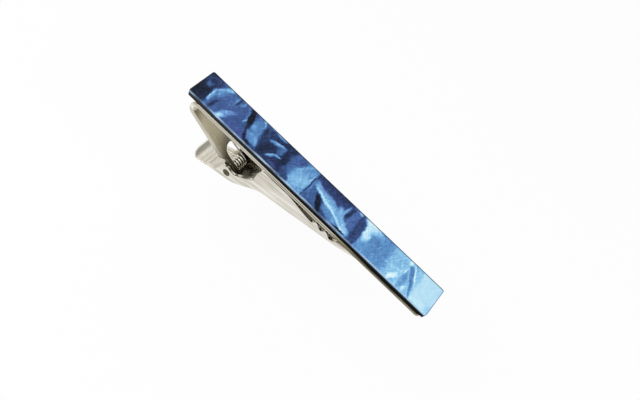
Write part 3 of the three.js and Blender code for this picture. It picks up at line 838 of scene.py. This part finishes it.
# %% Curls over the bands
PEARL_CURLS = [  # x, y, turn, half length, half width, brightness on its right and left side, softness
    (-26.0, 1.7, 0, 1.6, 1.2, 0.2, 0.26, 0.7), (-26.0, 0.55, 85, 0.6, 0.5, 0.4, 0.46, 0.8),
    (-24.6, 2.85, 0, 0.7, 0.16, 0.5, 0.56, 0.6), (-23.6, 1.3, 55, 2.0, 0.75, 0.5, 0.74, 0.5),
    (-24.25, -0.7, 90, 1.6, 0.45, 0.4, 0.84, 0.35), (-22.7, 2.5, 40, 0.7, 0.4, 0.78, 0.8, 0.9),
    (-23.4, 0.4, 60, 0.9, 0.4, 0.5, 0.7, 0.9), (-23.2, -2.0, 78, 1.4, 0.35, 0.14, 0.24, 0.7),
    (-21.0, 1.2, 20, 2.0, 1.2, 0.42, 0.46, 0.9), (-20.8, 2.0, 88, 0.8, 0.16, 0.6, 0.64, 0.8),
    (-20.3, 2.0, 90, 1.0, 0.16, 0.14, 0.14, 0.8), (-19.4, 2.4, 75, 0.7, 0.25, 0.56, 0.64, 0.9),
    (-20.5, -1.9, 52, 1.9, 0.6, 0.5, 0.78, 0.7), (-20.9, -2.9, 52, 0.8, 0.45, 0.8, 0.86, 0.9),
    (-17.6, 1.2, -65, 1.4, 0.35, 0.44, 0.58, 0.8), (-17.0, -2.4, 0, 1.5, 0.9, 0.34, 0.4, 0.6),
    (-16.8, 1.3, -68, 2.3, 0.55, 0.02, 0.04, 0.4), (-15.6, -1.9, -60, 1.3, 0.3, 0.05, 0.1, 0.6),
    (-14.4, -2.9, 0, 1.0, 0.4, 0.03, 0.06, 0.6), (-17.2, 0.05, 80, 0.7, 0.18, 0.66, 0.72, 0.6),
    (-14.6, 0.2, -70, 2.8, 0.9, 0.5, 0.56, 0.6), (-14.5, 2.5, -60, 0.8, 0.22, 0.66, 0.78, 0.7),
    (-15.4, 0.4, 60, 0.7, 0.4, 0.6, 0.72, 0.9), (-14.4, -1.5, -15, 1.2, 0.7, 0.58, 0.68, 0.8),
    (-13.2, -2.0, -55, 0.9, 0.35, 0.6, 0.72, 0.8), (-13.2, 1.2, -65, 1.6, 0.55, 0.2, 0.26, 0.7),
    (-11.6, -1.2, 70, 2.0, 0.8, 0.1, 0.14, 0.8), (-7.8, -0.5, 88, 3.0, 0.6, 0.1, 0.12, 0.8),
    (-12.4, 2.85, -10, 1.3, 0.25, 0.4, 0.8, 0.6), (-10.5, 2.85, 10, 1.1, 0.24, 0.4, 0.76, 0.6),
    (-9.2, 0.6, 80, 1.2, 0.7, 0.46, 0.36, 0.5), (-10.3, 1.2, 18, 1.6, 0.42, 0.36, 0.82, 0.5),
    (-10.0, -1.5, 52, 0.9, 0.28, 0.5, 0.84, 0.6), (-9.1, -0.75, 22, 0.9, 0.26, 0.5, 0.82, 0.6),
    (-8.6, -2.7, 0, 1.0, 0.35, 0.3, 0.36, 0.9), (-3.6, -0.9, 75, 3.0, 1.9, 0.62, 0.68, 0.35),
    (-5.7, 1.9, 40, 1.9, 1.0, 0.38, 0.44, 0.7), (-3.0, -1.3, 50, 2.0, 1.1, 0.7, 0.76, 0.9),
    (-4.0, 1.5, 52, 1.9, 0.45, 0.56, 0.76, 0.7), (-6.2, -2.4, -42, 1.6, 0.7, 0.22, 0.32, 0.6),
    (-1.65, 0, 88, 3.5, 0.15, 0.2, 0.28, 0.8), (-1.9, 0.8, 90, 0.8, 0.1, 0.78, 0.84, 0.7),
    (-0.9, 2.5, 0, 0.8, 0.7, 0.2, 0.26, 0.8), (2.9, 2.3, -3, 4.0, 1.2, 0.26, 0.18, 0.5),
    (6.6, 1.0, 75, 1.5, 0.45, 0.2, 0.24, 0.6), (7.8, 0.6, 87, 3.0, 0.75, 0.42, 0.5, 0.4),
    (0.2, -1.6, -60, 1.6, 0.5, 0.4, 0.44, 0.7), (3.4, -0.3, -18, 3.6, 1.0, 0.8, 0.62, 0.4),
    (0.2, 0.7, -30, 1.5, 0.5, 0.7, 0.66, 0.5), (6.0, 0.9, 78, 1.3, 0.3, 0.6, 0.72, 0.7),
    (5.6, -0.2, -55, 1.6, 0.7, 0.66, 0.72, 0.6), (7.6, -2.0, -38, 1.6, 0.5, 0.84, 0.64, 0.5),
    (4.2, -2.2, -22, 2.2, 0.75, 0.5, 0.66, 0.5), (1.2, -0.25, -24, 2.0, 0.24, 0.92, 0.86, 0.9),
    (4.6, -1.35, -20, 2.6, 0.26, 0.95, 0.86, 0.9), (7.2, -2.6, -22, 1.3, 0.22, 0.94, 0.86, 0.9),
    (1.5, -2.0, -60, 1.7, 0.6, 0.02, 0.05, 0.4), (6.9, -3.0, -3, 1.3, 0.2, 0.06, 0.1, 0.5),
    (8.2, 2.8, 0, 0.4, 0.25, 0.72, 0.74, 0.9), (9.55, 0.2, -82, 3.8, 0.8, 0.26, 0.3, 0.3),
    (11.6, 2.5, -12, 2.2, 1.0, 0.96, 0.94, 0.5), (11.2, 0.6, -78, 2.2, 0.75, 0.96, 0.88, 0.5),
    (14.2, 0.3, -60, 2.6, 1.7, 0.56, 0.6, 0.8), (13.3, -2.0, -30, 2.0, 0.8, 0.56, 0.62, 0.8),
    (18.3, 1.6, 0, 1.6, 1.2, 0.72, 0.78, 0.8), (18.4, -0.5, 7, 1.9, 0.34, 0.78, 0.84, 0.9),
    (20.3, 2.8, 90, 0.7, 0.3, 0.96, 0.96, 0.8), (18.75, -2.2, 62, 1.3, 0.5, 0.96, 1.0, 0.7),
    (20.55, -1.4, 86, 2.0, 0.5, 0.6, 0.66, 0.6), (21.2, 1.3, -52, 1.1, 0.5, 0.52, 0.58, 0.5),
    (22.4, -1.2, -68, 2.2, 0.3, 0.54, 0.62, 0.5), (21.8, -0.5, -61, 1.3, 0.12, 0.46, 0.46, 0.7),
    (20.25, 0.55, 88, 0.6, 0.14, 0.94, 0.94, 0.8), (22.0, 1.1, -62, 1.9, 0.17, 0.96, 0.96, 0.8),
    (21.6, -2.6, 88, 0.7, 0.32, 0.92, 0.92, 0.8), (25.2, -2.6, 0, 1.2, 0.5, 0.92, 0.92, 0.9),
    (27.0, -2.4, 0, 0.6, 0.8, 0.83, 0.83, 0.9)]
FAINT = 100
MIX_VALUES = (2, 3)


def blend_values(share, first, second):
    low, high = MIX_VALUES
    return share.node("Mix", {0: share, low: first, high: second})


def lay_curls(field, place, curls):
    """Each curl reads the field below it as a faint third coordinate, so the renderer works them out one by one."""
    x_along, y_along = (part_of(place, axis) for axis in "XY")
    for x, y, turn, long_half, short_half, right_side, left_side, softness in curls:
        grow = 1 / (1 - softness / 2)
        spot = place.node("CombineXYZ", {"X": x_along, "Y": y_along, "Z": field})
        spot = spot.node("Mapping", {"Vector": spot, "Location": (x, y, 0), "Rotation": (0, 0, math.radians(turn)),
                                     "Scale": (long_half * grow, short_half * grow, FAINT)}, vector_type="TEXTURE")
        cover = spot.node("TexGradient", {"Vector": spot}, output="Fac", gradient_type="SPHERICAL")
        shade = rise(part_of(spot, "Y"), -1.0, 1.0, right_side, left_side)
        field = blend_values(rise(cover, 0.0, softness), field, shade)
    return field


brightness = lay_curls(bands, wander, PEARL_CURLS)
print(len(PEARL_CURLS), "curls,", len(blue_pearl.node_tree.nodes), "nodes so far")

# %% Silk and mottling
PEARL_SILK = [  # stretch, turn, scale, detail, roughness, strength
    ((0.4, 2.2, 1), 58, 1.5, 5.0, 0.62, 0.36), ((0.4, 2.0, 1), -62, 1.2, 4.0, 0.6, 0.3),
    ((1, 1, 1), 0, 1.6, 4.0, 0.6, 0.2)]
CALM_SPAN, CALM = (0.87, 0.95), 0.35  # share of the length, and how much silk is left beyond it

silk = sum((noise(turned(wander, stretch, turn), scale, detail, roughness) - 0.5) * strength
           for stretch, turn, scale, detail, roughness, strength in PEARL_SILK)
brightness = brightness + silk * rise(along, *CALM_SPAN, 1.0, CALM)
print(len(PEARL_SILK), "layers of silk, calmer over the last", round((1 - CALM_SPAN[0]) * pearl_length, 1), "mm")

# %% Blues with a share of violet
VIOLET_CURLS = [  # the same for the share of violet
    (-24.8, 2.0, 0, 0.7, 0.8, 0.6, 0.6, 1.0), (-20.3, -0.4, 30, 3.2, 2.2, 0.25, 0.3, 0.8),
    (-17.1, -2.5, 0, 2.0, 1.0, 0.7, 0.7, 0.8), (-8.5, -2.4, 0, 1.4, 0.9, 0.7, 0.7, 0.9),
    (-6.2, 1.5, 40, 1.5, 1.0, 0.3, 0.3, 0.9), (2.6, 2.0, 0, 4.0, 1.4, 0.4, 0.4, 0.5),
    (7.8, 0.6, 88, 3.0, 0.8, 0.4, 0.4, 0.5), (9.6, 0.0, -80, 4.0, 0.9, 0.3, 0.3, 0.4)]
BLUE_RAMP = [
    (0.0, srgb(4, 12, 22)), (0.2, srgb(31, 48, 84)), (0.42, srgb(61, 93, 147)), (0.62, srgb(92, 144, 198)),
    (0.8, srgb(146, 202, 236)), (1.0, srgb(218, 245, 250))]
VIOLET_RAMP = [
    (0.0, srgb(14, 16, 34)), (0.2, srgb(40, 46, 92)), (0.45, srgb(72, 90, 158)), (0.7, srgb(130, 154, 212)),
    (1.0, srgb(220, 232, 248))]

violet = lay_curls(0.0, wander, VIOLET_CURLS)
blues = brightness.node("ValToRGB", {"Fac": brightness}, stops=BLUE_RAMP)
violets = brightness.node("ValToRGB", {"Fac": brightness}, stops=VIOLET_RAMP)
pearl_colour = blend_colours(violet, blues, violets)
print(len(BLUE_RAMP), "blues and", len(VIOLET_RAMP), "violets")

# %% Edges of the pearl ply
EDGE_HIGHLIGHT, EDGE_DARK, FRONT_BLUE = srgb(172, 202, 226), srgb(8, 12, 22), srgb(74, 116, 176)
NEAR, FAR, TAIL, FRONT = (0, 0.7), (2.4, 1.2), (0.3, 1.6), (1.6, 0.6)  # in widths of the eased edge
FOOT_LINE = (-0.54, -0.4)


def lay_tints(colour, marks_and_shading):
    """Lays tints over a colour one after the other, each with its share."""
    for share, tint in marks_and_shading:
        colour = blend_colours(share, colour, tint)
    return colour


x, y, z = (part_of(pearl_place, axis) for axis in "XYZ")
near = fall(y, *(pearl_low.y + width * ARRIS for width in NEAR))
far = rise(y, *(pearl_high.y - width * ARRIS for width in FAR))
tail = fall(x, *(pearl_low.x + width * ARRIS for width in TAIL))
front = rise(x, *(pearl_high.x - width * ARRIS for width in FRONT))
flare = rise(noise(turned(pearl_place, (0.25, 1, 1)), 1.0), 0.35, 0.65, 0.1, 0.85)
# The far edge and the tail end take a painted dark reflection, the front end a middle blue, the near edge a painted
# highlight, and the side is darker towards its foot.
pearl_colour = lay_tints(pearl_colour, [
    (larger(far, tail) * 0.75, EDGE_DARK), (front * 0.8, FRONT_BLUE), (near * flare, EDGE_HIGHLIGHT),
    (rise(z, *FOOT_LINE, 0.95, 0.0), EDGE_DARK)])
print("edge lines of the pearl are up to", round(max(FAR) * ARRIS, 2), "mm wide")

# %% Polish of the pearl
PEARL_GLOSS, PEARL_HAZE = 0.12, 0.14
PEARL_WAVE, PEARL_RELIEF = 0.01, 0.15
PEARL_SPECULAR, PEARL_IOR = 0.12, 1.49


def connect(surface, name, signal):
    signal.tree.links.new(signal.socket, surface.inputs[name])


def polish(surface, colour, rough, height, depth, strength):
    """Connects a colour, a roughness, and a height in 0..1 as fine relief of that depth in millimetres."""
    connect(surface, "Base Color", colour)
    connect(surface, "Roughness", rough)
    relief = height.node("Bump", {"Strength": strength, "Distance": depth * MM, "Height": height})
    connect(surface, "Normal", relief)


def dress(piece, finish):
    piece.data.materials.clear()
    piece.data.materials.append(finish)
    print(piece.name, "wears", finish.name, "of", len(finish.node_tree.nodes), "nodes")


haze = noise(pearl_place, 1.2, 5.0, 0.6)
waves = noise(pearl_place, 0.8, 3.0)
polish(pearl_surface, pearl_colour, PEARL_GLOSS + haze * PEARL_HAZE, waves, PEARL_WAVE, PEARL_RELIEF)
pearl_surface.inputs["Specular IOR Level"].default_value = PEARL_SPECULAR
pearl_surface.inputs["IOR"].default_value = PEARL_IOR
dress(pearl_ply, blue_pearl)

# %% [markdown]
# ## Black ply and glue
# The black ply is the same plastic without mica: nearly black, with upright marks of the saw that the polish left
# dull, and with dust towards the tail. The glue is a thin amber film, cloudy with tiny bubbles. Flat colours would
# do from afar, but close by a bare black looks like a hole, so both get their marks from stretched noise.

# %% Black plastic
BLACK, SAWN_BLACK, DUST = srgb(3, 3, 4), srgb(12, 12, 14), srgb(52, 52, 52)
DUST_SPAN, DUST_RAGGED, DUST_SHARE = (-24.0, 10.0), 12, 0.8
BLACK_GLOSS, BLACK_DULL = 0.24, 0.26
SAW_DEPTH, SAW_RELIEF = 0.02, 0.25
BLACK_SPECULAR = 0.02

black_plastic, black_surface, place = new_finish("black_plastic")
saw = noise(turned(place, (6, 6, 0.4)), 2.0, 4.0, 0.65)
cloud = noise(place, 0.5, 3.0)
dust = rise(part_of(place, "X") + cloud * DUST_RAGGED, *DUST_SPAN, DUST_SHARE, 0.0)
black_colour = lay_tints(BLACK, [(cloud * saw, SAWN_BLACK), (dust, DUST)])
polish(black_surface, black_colour, BLACK_GLOSS + saw * BLACK_DULL, saw, SAW_DEPTH, SAW_RELIEF)
black_surface.inputs["Specular IOR Level"].default_value = BLACK_SPECULAR
dress(black_ply, black_plastic)

# %% Amber glue
AMBER, PALE_AMBER, BUBBLE = srgb(150, 118, 62), srgb(214, 188, 128), srgb(240, 228, 196)
BUBBLES, BUBBLE_RIM, BUBBLE_SHARE = 3.5, (0.08, 0.2), 0.5
GLUE_GLOSS, GLUE_DULL = 0.3, 0.3
GLUE_DEPTH, GLUE_RELIEF = 0.02, 0.3

amber_glue, glue_surface, place = new_finish("amber_glue")
cloud = noise(place, 1.4, 5.0, 0.6)
speck = fall(place.node("TexVoronoi", {"Vector": place, "Scale": BUBBLES}), *BUBBLE_RIM)
glue_colour = lay_tints(AMBER, [(cloud, PALE_AMBER), (speck * BUBBLE_SHARE, BUBBLE)])
polish(glue_surface, glue_colour, GLUE_GLOSS + cloud * GLUE_DULL, cloud + speck, GLUE_DEPTH, GLUE_RELIEF)
dress(frame["nodes"]["glue_film"], amber_glue)

# %% [markdown]
# ## Polished metal
# Nickel plate is a warm grey mirror. What shows that it is metal from a workshop is what breaks the mirror: fine
# polishing lines along the grain, cloudy patches of tarnish, and hairline scratches. They change the roughness far
# more than the colour. One even roughness would be simpler, but it looks like a drawing of metal. The same recipe
# with other numbers serves the drawn spring wire and the turned steel pin, so these two are dressed first.

# %% Spring wire and pin
HAIR_TURN, HAIR_SPAN = 14, (0.66, 0.72)
TARNISH_SPAN = (0.4, 0.75)
METAL_RELIEF = 0.35


def polished_metal(name, bright, dull, gloss, satin, grain, lines, marks_and_shading=None):
    finish, surface, place = new_finish(name)
    brushed = noise(turned(place, grain), 5.0, 3.0, 0.6)
    tarnish = rise(noise(turned(place, (0.3, 1, 1)), 0.5, 4.0, 0.55), *TARNISH_SPAN)
    scratch = rise(noise(turned(place, (0.25, 7, 7), HAIR_TURN), 3.0, 2.0), *HAIR_SPAN)
    colour = blend_colours(tarnish * 0.6 + scratch * 0.15, bright, dull)
    rough = gloss + (satin - gloss) * (0.5 * brushed + 0.5 * tarnish) + scratch * 0.08
    height = brushed - scratch * 0.4
    if marks_and_shading:
        colour, rough, height = marks_and_shading(place, colour, rough, height)
    polish(surface, colour, rough, height, lines, METAL_RELIEF)
    surface.inputs["Metallic"].default_value = 1.0
    return finish


wire_bright, wire_dull = srgb(232, 228, 216), srgb(160, 152, 136)
steel_bright, steel_dull = srgb(96, 94, 70), srgb(60, 60, 42)
dress(spring, polished_metal("spring_wire", wire_bright, wire_dull,
                             gloss=0.14, satin=0.3, grain=(3, 3, 3), lines=0.008))
dress(rivet, polished_metal("riveted_steel", steel_bright, steel_dull,
                            gloss=0.22, satin=0.42, grain=(5, 0.6, 5), lines=0.01))

# %% [markdown]
# ## Nickel plate of the strip
# The strip's sides along the bar are painted darker as painted shade, with a line of painted dark reflection along
# them. Towards the tip the strip takes a painted dark reflection and an olive painted reflection, with painted
# shade at the top of its side under the plies and on its underside, and the leg takes painted shade under the bar
# and by the hinge.
# An image could be painted for all this, but it would stretch over the bends. Here each mark is a share that rises
# and falls over a span of millimetres, and the marks lay their tints over the plate one after the other.

# %% Painted shade and reflections of the strip
NICKEL, NICKEL_DULL = srgb(240, 237, 228), srgb(190, 183, 158)
SIDE_SHADE, LEG_SHADE, TIP_DARK_REFLECTION = srgb(190, 185, 168), srgb(158, 150, 122), srgb(184, 174, 134)
PLY_GAP_SHADE, OLIVE_REFLECTION, PAINTED_SHADE = srgb(24, 22, 16), srgb(92, 86, 56), srgb(84, 80, 62)
# Spans along the bar, out from its middle, and up from the strip's underside
ON_BAR, AT_TIP, TIP_UNDERSIDE = (-0.2, -0.1), (5.5, 9.5), (0.1, 0.26)
SIDE_OUT, SIDE_UP = (2.7, 2.95), (0.06, 0.2)
PLY_GAP_ALONG, PLY_GAP_UP, PLY_GAP_RAGGED = (8.0, 15.0), (0.5, 0.64), 0.3
OLIVE_STARTS, OLIVE_ENDS, OLIVE_UP = (6.0, 9.0), (21.0, 23.5), (-0.1, 0.1)
REFLECTION_LINE_LOW, REFLECTION_LINE_HIGH, REFLECTION_LINE_ALONG = (0.2, 0.28), (0.46, 0.56), (-14.0, -4.0)
LEG_UP, LEG_OUT, LEG_RAGGED = (-1.5, -0.8), (2.8, 3.0), 0.6
HINGE_SHADE_FROM_PIN, HINGE_SHADE_UP, HINGE_SHADE_RAGGED = (3.0, 7.5), (-2.1, -1.1), 2


def distance_from_pin(place):
    return place.node("VectorMath", {0: place, 1: pin_at}, output="Value", operation="DISTANCE")


def strip_painted_shading(place, colour, rough, height):
    x, y, z = (part_of(place, axis) for axis in "XYZ")
    up, out = z - strip_under, abs(y)
    ragged = noise(turned(place, (0.35, 1, 1)), 1.2, 4.0, 0.6) - 0.5
    on_bar = rise(up, *ON_BAR)
    # side: painted shade over the strip's sides along the bar
    side = rise(out, *SIDE_OUT) * rise(up, *SIDE_UP, 0.2, 1.0) * on_bar
    # at_tip: a painted dark reflection along the tip, and with the underside span painted shade on the strip's
    # underside there
    at_tip = rise(x, *AT_TIP) * on_bar
    # painted reflection, olive, over the strip towards the tip
    olive_reflection = rise(x, *OLIVE_STARTS) * fall(x, *OLIVE_ENDS) * rise(up, *OLIVE_UP)
    # a painted dark reflection in a line along the middle of the strip's side
    groove_and_reflection_line = rise(up, *REFLECTION_LINE_LOW) * fall(up, *REFLECTION_LINE_HIGH) * rise(x, *REFLECTION_LINE_ALONG, 0.3, 1.0)
    # leg: painted shade on the leg under the bar
    leg = rise(up + ragged * LEG_RAGGED, *LEG_UP, 0.7, 0.0) * rise(out, *LEG_OUT, 1.0, 0.7)
    # painted shade on the leg by the hinge; the same shade colour paints the dark line and the tip's underside
    hinge_shade = fall(distance_from_pin(place) + ragged * HINGE_SHADE_RAGGED, *HINGE_SHADE_FROM_PIN) * fall(up, *HINGE_SHADE_UP)
    # painted shade along the top of the strip's side towards the tip, under the plies
    ply_gap_shade = rise(x, *PLY_GAP_ALONG) * rise(up + ragged * PLY_GAP_RAGGED, *PLY_GAP_UP)
    colour = lay_tints(colour, [
        (side * 0.85, SIDE_SHADE), (at_tip * 0.7, TIP_DARK_REFLECTION), (at_tip * fall(up, *TIP_UNDERSIDE) * 0.8, PAINTED_SHADE),
        (olive_reflection * 0.5, OLIVE_REFLECTION), (groove_and_reflection_line * 0.8, PAINTED_SHADE), (leg, LEG_SHADE), (hinge_shade, PAINTED_SHADE), (ply_gap_shade, PLY_GAP_SHADE)])
    return colour, rough + ply_gap_shade * 0.3 + hinge_shade * 0.1, height


dress(strip, polished_metal("nickel_plate_strip", NICKEL, NICKEL_DULL,
                            gloss=0.1, satin=0.24, grain=(0.4, 6, 6), lines=0.006, marks_and_shading=strip_painted_shading))

# %% [markdown]
# ## Nickel plate of the lever
# The walls carry long streaks of painted reflection, lighter and darker, that follow the slope of the jaw, and the
# thumb tab is painted brighter as a painted highlight. The inside is satin, with blotches of painted shade around
# the spring, and fine hatching gives the thumb tab its grip.
# The hatching could be cut into the mesh, but it is finer than the rows of faces there. So a sine wave along the
# bar makes it, as relief and as colour, and the streaks are a noise that is stretched along the slope.

# %% Hatching, painted reflections and painted shade of the lever
LEVER_NICKEL, LEVER_DULL_AND_SHADE, COIL_SHADE = srgb(218, 214, 205), srgb(176, 170, 148), srgb(88, 82, 56)
HATCH_PITCH, HATCH_SHARE = 0.34, 0.4
STREAK_SLOPE = 0.27
STREAK_ALONG, STREAK_UP, STREAK_ACROSS = 0.1, 1.4, 0.4
DARK_REFLECTION_STREAK, BRIGHT_REFLECTION_STREAK = (0.36, 0.46), (0.5, 0.64)
INSIDE = (2.3, 2.6)
TAB_END, BLOTCH_START = (-3.2, -2.2), (-1.5, -0.5)  # along the bar, from the pin
BLOTCH_SPAN, BLOTCH_FROM_PIN, BLOTCH_SHARE = (0.42, 0.56), (3.0, 5.5), 0.85
TAB_SATIN, INSIDE_SATIN = 0.42, 0.3


def lever_marks_and_shading(place, colour, rough, height):
    x, y, z = (part_of(place, axis) for axis in "XYZ")
    past_pin = x - pin_x
    # streak: painted reflections on the walls, lighter and darker, that follow the slope of the jaw
    on_slope = place.node("CombineXYZ", {"X": x * STREAK_ALONG, "Y": (z - x * STREAK_SLOPE) * STREAK_UP,
                                         "Z": y * STREAK_ACROSS})
    streak = noise(on_slope, 1.0, 3.0, 0.55)
    inside = fall(abs(y), *INSIDE)
    # on_tab: the thumb tab, which is painted brighter as a painted highlight, and is satin and hatched
    on_tab = fall(past_pin, *TAB_END)
    hatch = (x.math("SINE", x * (2 * math.pi / HATCH_PITCH)) * 0.5 + 0.5) * on_tab
    # blotch: painted shade in blotches inside the lever around the spring
    blotch = rise(noise(place, 1.1, 3.0, 0.6), *BLOTCH_SPAN) * fall(distance_from_pin(place), *BLOTCH_FROM_PIN)
    blotch = blotch * inside * rise(past_pin, *BLOTCH_START)
    colour = lay_tints(colour, [
        (rise(streak, *DARK_REFLECTION_STREAK, 0.5, 0.0), LEVER_DULL_AND_SHADE),
        (larger(on_tab, rise(streak, *BRIGHT_REFLECTION_STREAK, 0.0, 0.7)), NICKEL),
        (hatch * HATCH_SHARE, NICKEL_DULL), (blotch * BLOTCH_SHARE, COIL_SHADE)])
    return colour, rough + larger(on_tab * TAB_SATIN, inside * INSIDE_SATIN), height + hatch


dress(lever, polished_metal("nickel_plate_lever", LEVER_NICKEL, LEVER_DULL_AND_SHADE,
                            gloss=0.08, satin=0.22, grain=(0.5, 4, 4), lines=0.006, marks_and_shading=lever_marks_and_shading))

# %% [markdown]
# ## Camera
# The clip is seen from above its near side, with the camera rolled so that the bar runs down to the right. A Track
# To constraint could aim the camera, but it would keep it level. So its three directions are worked out from
# azimuth, elevation and roll, and they become the columns of the camera's matrix.

# %% Camera
AZIMUTH, ELEVATION, ROLL = (math.radians(angle) for angle in (3.098, 53.416, 41.17))
ASIDE, RAISED, DRAWN_BACK = 0.341, -1.592, 127.866
FOCAL_PIXELS, IMAGE_WIDTH = 752.0, 640
SENSOR = 36

back = Vector((math.sin(AZIMUTH) * math.cos(ELEVATION), -math.cos(AZIMUTH) * math.cos(ELEVATION),
               math.sin(ELEVATION)))
level = Vector((math.cos(AZIMUTH), math.sin(AZIMUTH), 0))
upward = back.cross(level)
right = level * math.cos(ROLL) + upward * math.sin(ROLL)
up = upward * math.cos(ROLL) - level * math.sin(ROLL)
spot = (right * ASIDE + up * RAISED + back * DRAWN_BACK) * MM
camera = bpy.data.objects.new("camera", bpy.data.cameras.new("camera"))
bpy.context.scene.collection.objects.link(camera)
camera.data.sensor_width = SENSOR
camera.data.sensor_fit = "HORIZONTAL"
camera.data.lens = FOCAL_PIXELS * SENSOR / IMAGE_WIDTH
camera.data.clip_start = MM
camera.data.dof.use_dof = False
camera.matrix_world = Matrix.Translation(spot) @ Matrix((right, up, back)).transposed().to_4x4()
bpy.context.scene.camera = camera
bpy.context.scene.view_settings.view_transform = "Standard"
print("camera", [round(v / MM, 1) for v in spot], "mm, lens", round(camera.data.lens, 2))

# %% [markdown]
# ## Floor and light
# The clip is shown over a white table in soft light. A bright lamp could make the floor white, but it would bleach
# the clip too. So the floor is a pale diffuse plane that is mostly a plain white glow to the camera and in
# reflections, and its diffuse share keeps the clip's soft shadow. It is set just below the lowest place that the
# lever swings to, so that the open clip is clear of it as well. The sky is bright on one side and darker on the
# other, with a dark gap above a white backdrop, because polished metal shows its shape only by what it mirrors.

# %% Floor
FLOOR_SIZE = 3
FLOOR_GLOW = 0.82
FLOOR_BELOW_SWING = 0.5
FLOOR_PALE, WHITE = (0.94, 0.94, 0.94, 1), (1, 1, 1, 1)


def seen_or_mirrored(tree):
    """One for rays from the camera and for those sent on by a mirror or glass, zero for the light on the clip."""
    seen = Signal(tree).node("LightPath", {}, output="Is Camera Ray")
    rays = seen.socket.node.outputs
    return larger(seen, larger(Signal(tree, rays["Is Glossy Ray"]), Signal(tree, rays["Is Transmission Ray"])))


wide_open = Matrix.Rotation(math.radians(hinge["range_deg"][1]), 3, "Y")
lowest = pin_z + min((wide_open @ (vert.co / MM - pin_at)).z for vert in lever.data.vertices)
bm = bmesh.new()
bmesh.ops.create_grid(bm, x_segments=1, y_segments=1, size=FLOOR_SIZE / MM / 2)
bmesh.ops.translate(bm, vec=(0, 0, lowest - FLOOR_BELOW_SWING), verts=bm.verts)
floor = make_object("floor", bm)
white_table = bpy.data.materials.new("white_table")
white_table.use_nodes = True
tree = white_table.node_tree
tree.nodes.remove(tree.nodes["Principled BSDF"])
glow = seen_or_mirrored(tree) * FLOOR_GLOW
pale = glow.node("BsdfDiffuse", {"Color": FLOOR_PALE})
white = glow.node("Emission", {"Color": WHITE})
connect(tree.nodes["Material Output"], "Surface", glow.node("MixShader", {0: glow, 1: pale, 2: white}))
floor.data.materials.append(white_table)
print("floor at", round(floor.data.vertices[0].co.z / MM, 2), "mm")

# %% Sky
SKY_BRIGHT, SKY_DARK, SKY_SPAN = 1.1, 0.42, (-0.45, 0.6)
DARK_GAP, GAP_SPAN = 0.25, (0.14, 0.42)
BACKDROP, BACKDROP_SPAN = 1.0, (0.1, 0.14)

world = bpy.data.worlds.new("studio")
bpy.context.scene.world = world
world.use_nodes = True
background = world.node_tree.nodes["Background"]
aim = Signal(world.node_tree).node("TexCoord", {}, output="Generated")
sideways, upwards = part_of(aim, "X"), part_of(aim, "Z")
sky = rise(sideways, *SKY_SPAN, SKY_BRIGHT, SKY_DARK) * rise(upwards, *GAP_SPAN, DARK_GAP, 1.0)
connect(background, "Strength", blend_values(fall(upwards, *BACKDROP_SPAN), sky, BACKDROP))
background.inputs["Color"].default_value = WHITE
print("sky from", SKY_BRIGHT, "on the left to", SKY_DARK, "on the right")

# %% Softboxes
SOFTBOX_SIZE = 0.3


def softbox(name, place, watts):
    lamp = bpy.data.objects.new(name, bpy.data.lights.new(name, "AREA"))
    bpy.context.scene.collection.objects.link(lamp)
    lamp.data.energy = watts
    lamp.data.size = SOFTBOX_SIZE
    lamp.location = place
    lamp.rotation_euler = (-Vector(place)).to_track_quat("-Z", "Y").to_euler()
    lamp.visible_camera = False
    print(name, watts, "W")


softbox("key_softbox", (-0.25, -0.2, 0.4), 0.75)
softbox("fill_softbox", (0.35, -0.1, 0.3), 0.35)
